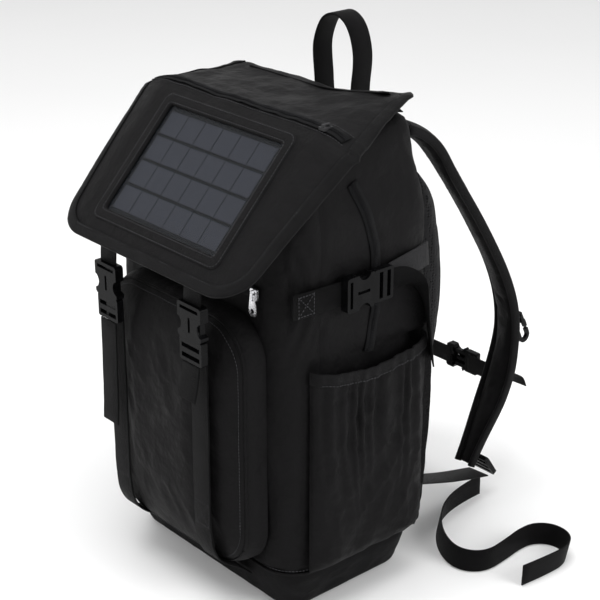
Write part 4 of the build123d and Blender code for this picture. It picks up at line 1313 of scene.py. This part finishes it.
tail_low, tail_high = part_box("side_strap_tail_right")
tail_x = tail_low.x / MM
loose = [vec(tail_x + 3, 22, STRAP_Z), vec(tail_x + 5, 36, STRAP_Z), vec(tail_x + 8, 52, STRAP_Z - 9),
         vec(tail_x + 9, 63, STRAP_Z - 30), vec(tail_x + 9, 70, STRAP_Z - 62), vec(tail_x + 8, 77, STRAP_Z - 98)]
loose_line = curve_through(loose, 8)
turns = tilted(loose_line, Vector((0.1, 0.0, 1.0)), Vector((0.75, -0.62, 0.0)))
for hand, line, across in (("right", loose_line, turns), ("left", mirror_points(loose_line), mirror_points(turns))):
    piece = strap("side_loose_end_" + hand, line, across, WEBBING * 0.92, WEBBING_THICK, webbing_weave)
    place(piece, "side_fork_" + hand, "webbing", "side_strap_tail_" + hand)


# %% Carry loop
handle_low, handle_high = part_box("handle")
loop_y = (handle_low.y + handle_high.y) / 2
half_loop = (handle_high.x - handle_low.x) / 2 / MM - 1.4
loop_top, loop_low = handle_high.z / MM - 1.2, handle_low.z / MM
loop_spots = [(-half_loop + 4, loop_low), (-half_loop + 2.2, loop_low + 22), (-half_loop, loop_low + 56), (-half_loop * 0.62, loop_top - 8),
              (0, loop_top), (half_loop * 0.62, loop_top - 8), (half_loop, loop_low + 56), (half_loop - 2.2, loop_low + 22), (half_loop - 4, loop_low)]
loop_line = curve_through([vec(x, loop_y / MM, z) for x, z in loop_spots], 10)
carry_loop = strap("carry_loop_webbing", loop_line, Y, WEBBING, 0.0022, webbing_weave, wave=0.0005)
place(carry_loop, "carry_loop", "webbing", "handle")


# %% Chest strap, lower webbing and the loops on the locks
chest_low, chest_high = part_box("chest_webbing")
chest_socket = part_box("chest_buckle_socket")
chest_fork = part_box("chest_buckle_fork")
CHEST_WEBBING = 0.020
chest_z = (chest_socket[0].z + chest_socket[1].z) / 2
chest_y = chest_low.y + WEBBING_THICK / 2
left_run = [Vector((chest_low.x, chest_y, chest_z)), Vector((-0.045, chest_y + 0.001, chest_z)), Vector((chest_socket[0].x + 0.006, chest_y + 0.0012, chest_z))]
right_run = [Vector((chest_fork[1].x - 0.012, chest_y + 0.0012, chest_z)), Vector((0.055, chest_y + 0.001, chest_z)), Vector((0.080, chest_y, chest_z))]
hang = [Vector((0.072, chest_y + 0.0068, chest_z + 0.002)), Vector((0.073, chest_y + 0.018, chest_z - 0.001)),
        Vector((0.074, chest_y + 0.030, chest_z - 0.008)), Vector((0.075, chest_y + 0.036, chest_z - 0.020))]
chest_parts = [strap("chest_part", curve_through(run), Z, CHEST_WEBBING, WEBBING_THICK, webbing_weave) for run in (left_run, right_run)]
chest_parts.append(strap("chest_loose_end", curve_through(hang), X, CHEST_WEBBING, WEBBING_THICK, webbing_weave))
place(join("chest_strap_webbing", chest_parts), "bag", "webbing", "chest_webbing")


def ends_of(node):
    """The right-hand points of a frame piece and the two far ends of that ribbon."""
    spots = [v.co.copy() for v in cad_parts[node].data.vertices if v.co.x > 0]
    middle = sum(spots, Vector()) / len(spots)
    far = max(spots, key=lambda p: (p - middle).length)
    opposite = max(spots, key=lambda p: (p - far).length)
    return spots, far, opposite


def ribbon_like(name, node, width):
    """Ribbons that lie where a straight frame piece and its twin lie."""
    spots, far, opposite = ends_of(node)
    near_far = [p for p in spots if (p - far).length < width * 1.1]
    near_opposite = [p for p in spots if (p - opposite).length < width * 1.1]
    start = sum(near_far, Vector()) / len(near_far)
    end = sum(near_opposite, Vector()) / len(near_opposite)
    across = (max(near_far, key=lambda p: (p - far).length) - far).normalized()
    dip = Vector((0, 0, -0.002))
    line = curve_through([start, (start + end) / 2 + dip, end], 10)
    right = strap(name, line, across, width, WEBBING_THICK, webbing_weave)
    left = strap(name + "_left", mirror_points(line), Vector((-across.x, across.y, across.z)), width, WEBBING_THICK, webbing_weave)
    return place(join(name, [right, left]), "bag", "webbing", node)


ribbon_like("lower_side_webbing", "lower_webbing", WEBBING)
ribbon_like("lock_loops", "strap_end_loops", WEBBING)
print("all webbing is on")

# %% [markdown]
# ## Padded pieces
# The shoulder straps and the back are foam in a cloth cover. A cloth simulation with a
# little pressure inside gives them the fullness and small tucks of real padding: the plain
# shape is remeshed evenly, blown up for twenty frames with gravity off, and any point that
# strays too far is held back. Seams and channels are pressed in afterwards, because the
# remeshing would have erased them.

# %% Padding by cloth simulation
VOXEL = 0.005


def puff(piece, pressure, cap):
    """Blow a closed piece up a little as cloth, then smooth it."""
    voxels = piece.modifiers.new("even", "REMESH")
    voxels.mode = "VOXEL"
    voxels.voxel_size = VOXEL
    apply_modifiers(piece)
    start = [v.co.copy() for v in piece.data.vertices]
    cloth = piece.modifiers.new("padding", "CLOTH")
    cloth.settings.use_pressure = True
    cloth.settings.uniform_pressure_force = pressure
    cloth.settings.quality = 5
    cloth.settings.tension_stiffness = 25
    cloth.settings.compression_stiffness = 25
    cloth.settings.effector_weights.gravity = 0.0
    scene = bpy.context.scene
    for number in range(1, 21):
        scene.frame_set(number)
    apply_modifiers(piece)
    scene.frame_set(1)
    for point, before in zip(piece.data.vertices, start):
        step = point.co - before
        if step.length > cap:
            point.co = before + step.normalized() * cap
    smooth = piece.modifiers.new("smooth", "SUBSURF")
    smooth.levels = smooth.render_levels = 1
    apply_modifiers(piece)
    piece.data.polygons.foreach_set("use_smooth", [True] * len(piece.data.polygons))
    return piece


# %% Shoulder straps
STRAP_ROUTE = [(85.0, 452.0), (119.0, 441.0), (158.0, 390.0), (203.0, 327.0), (245.0, 258.0),
               (262.0, 205.0), (258.0, 160.0), (245.0, 122.0), (220.0, 78.0), (203.0, 46.0)]
pad_low, pad_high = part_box("shoulder_strap_right")
PAD_X = (pad_low.x + pad_high.x) / 2
PAD_HALF = (pad_high.x - pad_low.x) / 2
PAD_THICK = 0.012
pad_line = spline_line([(PAD_X, y * MM, z * MM) for y, z in STRAP_ROUTE], 9)


PAD_SHAPE = [(0.0, 0.86), (0.25, 1.0), (0.6, 0.94), (0.8, 0.82), (1.0, 0.5)]
TWIST_SHAPE = [(0.0, 0.0), (0.2, 1.0), (0.6, 1.0), (0.78, 0.25), (1.0, 0.2)]
PAD_TWIST = math.radians(20.0)


def pad_half(share):
    """Half the strap's width at a share of the way down."""
    return (PAD_HALF - 0.001) * ease(share, PAD_SHAPE)


def pad_frame(line, i):
    """Width direction and outward direction at a point of the strap's line."""
    run = (line[min(i + 1, len(line) - 1)] - line[max(i - 1, 0)]).normalized()
    turn = Matrix.Rotation(PAD_TWIST * ease(i / len(line), TWIST_SHAPE), 3, run)
    return turn @ X, turn @ X.cross(run)


def pad_sections(line, thick):
    """Soft oblong sections of a padded strap along its line."""
    rows = []
    for i, here in enumerate(line):
        side, face = pad_frame(line, i)
        half = pad_half(i / len(line))
        ring = []
        for k in range(28):
            turn = 2 * math.pi * k / 28
            a = math.copysign(abs(math.cos(turn)) ** 0.55, math.cos(turn)) * half
            b = math.copysign(abs(math.sin(turn)) ** 0.8, math.sin(turn)) * thick / 2
            ring.append(here + side * a + face * b)
        rows.append(ring)
    return rows


def inner_face(piece, line):
    """Give the side that lies on the wearer the mesh finish, and press in the edge seam."""
    piece.data.materials.append(mesh_pad)
    frames = [pad_frame(line, i) for i in range(len(line))]
    for polygon in piece.data.polygons:
        near = min(range(len(line)), key=lambda i: (line[i] - polygon.center).length_squared)
        side, face = frames[near]
        aside = abs((polygon.center - line[near]).dot(side))
        if polygon.normal.dot(face) > 0.35 and aside < pad_half(near / len(line)) - 0.004:
            polygon.material_index = 1
    for point in piece.data.vertices:
        near = min(range(len(line)), key=lambda i: (line[i] - point.co).length_squared)
        side, face = frames[near]
        aside = abs((point.co - line[near]).dot(side))
        press = 0.0016 * bell(aside, pad_half(near / len(line)) - 0.005, 0.0022)
        height = (point.co - line[near]).dot(face)
        point.co -= face * math.copysign(min(press, abs(height) * 0.6), height)
    return piece


def mirrored_copy(piece, name):
    """The twin of a finished piece on the other side, its faces still pointing out."""
    twin = bpy.data.objects.new(name, piece.data.copy())
    bpy.context.collection.objects.link(twin)
    twin.data.transform(Matrix.Scale(-1, 4, X))
    twin.data.flip_normals()
    return twin


right_pad = skin("shoulder_strap_pad_right", pad_sections(pad_line, PAD_THICK - 0.002), pack_cloth, around=True, caps=True)
inner_face(puff(right_pad, 4.0, 0.003), pad_line)
left_pad = mirrored_copy(right_pad, "shoulder_strap_pad_left")
for piece, hand in ((right_pad, "right"), (left_pad, "left")):
    place(piece, "bag", "pack_cloth", "shoulder_strap_" + hand)
print("each strap pad has", len(right_pad.data.polygons), "faces")

# %% Binding along the straps' edges
bindings = []
for hand in (1, -1):
    for edge in (1, -1):
        line, across = [], []
        for i, here in enumerate(pad_line):
            side, face = pad_frame(pad_line, i)
            line.append(here + side * (edge * (pad_half(i / len(pad_line)) - 0.0008)))
            across.append(face)
        if hand < 0:
            line, across = mirror_points(line), mirror_points(across)
        bindings.append(strap("strap_binding", line, across, 0.0098, 0.0042, binding_tape))
place(join("strap_binding_tapes", bindings), "bag", "binding_tape")

# %% Back pad
back_low, back_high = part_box("back_pad")
PAD_FACE = back_low.y / MM
PAD_DEPTH = back_high.y / MM - PAD_FACE
pad_outline = rounded_outline(back_high.x / MM + 17, back_low.z / MM + 1, back_high.z / MM - 1, 40, 160)
pad_middle = (back_low.z + back_high.z) / 2 / MM
pad_tall = (back_high.z - back_low.z) / MM


def back_swell(z):
    """How much further the back stands out between its two ends."""
    return 24.0 * math.cos(math.pi * (z - pad_middle) / pad_tall)


rows = []
for ring in range(27):
    share = 1 - (ring / 26) ** 1.4
    depth = (PAD_DEPTH - 3) * (1 - share**4) ** 0.45
    rows.append([vec(x * share, PAD_FACE + 0.6 + depth + back_swell(pad_middle + (z - pad_middle) * share),
                     pad_middle + (z - pad_middle) * share) for x, z in pad_outline])
for ring in range(1, 14):
    share = ring / 13
    rows.insert(0, [vec(x * (1 - share), PAD_FACE + 0.5, pad_middle + (z - pad_middle) * (1 - share)) for x, z in pad_outline])
back_pad = puff(skin("back_pad_mesh", rows, mesh_pad, around=True), 3.0, 0.004)
for point in back_pad.data.vertices:
    x, z = point.co.x / MM, point.co.z / MM
    if point.co.y / MM > PAD_FACE + 6:
        fade = 1 - min(1.0, abs(x) / (back_high.x / MM)) ** 3
        press = 6.0 * bell(x, 0, 7) + 4.5 * fade * (bell(z, pad_middle + 45, 5) + bell(z, pad_middle - 45, 5))
        point.co.y -= min(press, 7.5) * MM
place(back_pad, "bag", "mesh_pad", "back_pad")
print("back pad has", len(back_pad.data.polygons), "faces")

# %% [markdown]
# ## The hinge seam
# The lid is sewn to the top of the back. A short strip of cloth crosses the joint, bent from
# the back up to the lid.

# %% Hinge cloth
hinge_low, hinge_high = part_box("hinge_tape")
hinge_half = hinge_high.x * 0.88
rows = []
for i in range(13):
    t = i / 12
    y = hinge_high.y + 0.006 * (1 - t) - 0.016 * t
    z = hinge_low.z - 0.005 * (1 - t) ** 2 - 0.001 + (hinge_high.z - hinge_low.z + 0.0055) * (t * t * (3 - 2 * t))
    wide = [hinge_half * (2 * k / 40 - 1) for k in range(41)]
    rows.append([Vector((x, y, z + corner_rise(x / MM, -LEVEL) * MM)) for x in wide])
hinge_cloth = thicken(skin("hinge_cloth", rows, pack_cloth), 0.0012)
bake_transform(hinge_cloth)
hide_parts("hinge_tape")

# %% [markdown]
# ## Stitching
# Rows of thread show where the cloth is sewn. One tree makes them all, a body at a time.

# %% Stitches on the lid
def lid_stitch(margin):
    """A row of stitches just inside the lid's edge."""
    line, facing = [], []
    for i, (x, d) in enumerate(spots):
        ahead, behind = spots[min(i + 1, len(spots) - 1)], spots[max(i - 1, 0)]
        run = Vector((ahead[0] - behind[0], ahead[1] - behind[1])).normalized()
        px, pd = x + run.y * margin, d - run.x * margin
        line.append(lid_at(px, pd, 1.0))
        facing.append(lid_facing(px, pd))
    return line, facing


slope_face = Vector((0, -math.sin(SLOPE), math.cos(SLOPE)))
lid_lines = [lid_stitch(8.4)]
for margin, lift in ((2.2, 2.2), (10.4, 1.9)):
    ring = frame_loop(margin, lift)
    lid_lines.append(([*ring, ring[0]], slope_face))
for offset in (-8.0, 8.0):
    line = [lid_at(x, LID_ZIP_DOWN + offset, 0.4) for x in zip_spots]
    lid_lines.append((line, [lid_facing(x, LID_ZIP_DOWN + offset) for x in zip_spots]))
copies_on("lid_stitches", "lid", "binding_tape", lid_lines, STITCH, thread)

# %% Stitches on the body
bag_lines = []
line = [vec(x + n.x * (0.9 - 4.2), y + n.y * (0.9 - 4.2), SEAM_Z + 3.6) for x, y, n in columns]
bag_lines.append(([*line, line[0]], [Vector((n.x, n.y, 0)) for x, y, n in [*columns, columns[0]]]))
line = [pocket_point(x, z, 0.93) + Vector((0, -0.0004, 0)) for x, z in outline]
bag_lines.append(([*line, line[0]], -Y))
hem_row = [bottle_point(i / ALONG, 1.0, 1.9) - Vector((0, 0, 0.0105)) for i in range(4, ALONG - 3)]
bag_lines.append((hem_row, X))
bag_lines.append((mirror_points(hem_row), -X))


def boxed_cross(centre, side, up, half_side, half_up, facing):
    """The stitched box with a cross that anchors a strap's end."""
    a, b = side * half_side, up * half_up
    corners = [centre - a - b, centre + a - b, centre + a + b, centre - a + b, centre - a - b]
    return [(corners, facing), ([corners[0], corners[2]], facing), ([corners[1], corners[3]], facing)]


for hand in (1, -1):
    foot = vec(hand * STRAP_X, strap_y - 1.2, 112.0)
    bag_lines += boxed_cross(foot, X, Z, 0.0095, 0.012, -Y)
    anchor = vec(hand * (side_x + 0.6), -76, STRAP_Z)
    bag_lines += boxed_cross(anchor, Y, Z, 0.009, 0.0095, X * hand)
copies_on("body_stitches", "bag", "binding_tape", bag_lines, STITCH, thread)

# %% [markdown]
# ## Hard pieces from the frame
# The buckles, sliders, locks and the hook keep their own shapes. They only get their
# finishes: satin nylon, or bright plated metal.

# %% Finishes for the frame's own pieces
HARD = {
    "buckle_plastic": (buckle_plastic, "front_buckle_socket_right front_buckle_socket_left front_buckle_fork_right "
                       "front_buckle_fork_left side_buckle_socket_right side_buckle_socket_left side_buckle_fork_right "
                       "side_buckle_fork_left chest_buckle_socket chest_buckle_fork chest_adjusters "
                       "ladder_lock_right ladder_lock_left snap_hook hook_tab charge_box"),
    "bright_metal": (bright_metal, "front_zip_slider front_zip_pull"),
    "dark_metal": (moulded("dark_metal", (0.02, 0.02, 0.021, 1.0), 0.28, 0.00002), "lid_zip_slider"),
    "panel_laminate": (panel_laminate, "panel_board"),
    "window_film": (window_film, "panel_window"),
}
for finish, names in HARD.values():
    for name in names.split():
        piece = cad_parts[name]
        piece.data.materials.clear()
        piece.data.materials.append(finish)
shown = [n for n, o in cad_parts.items() if not o.hide_render]
print(len(shown), "frame pieces are shown:", ", ".join(sorted(shown)))
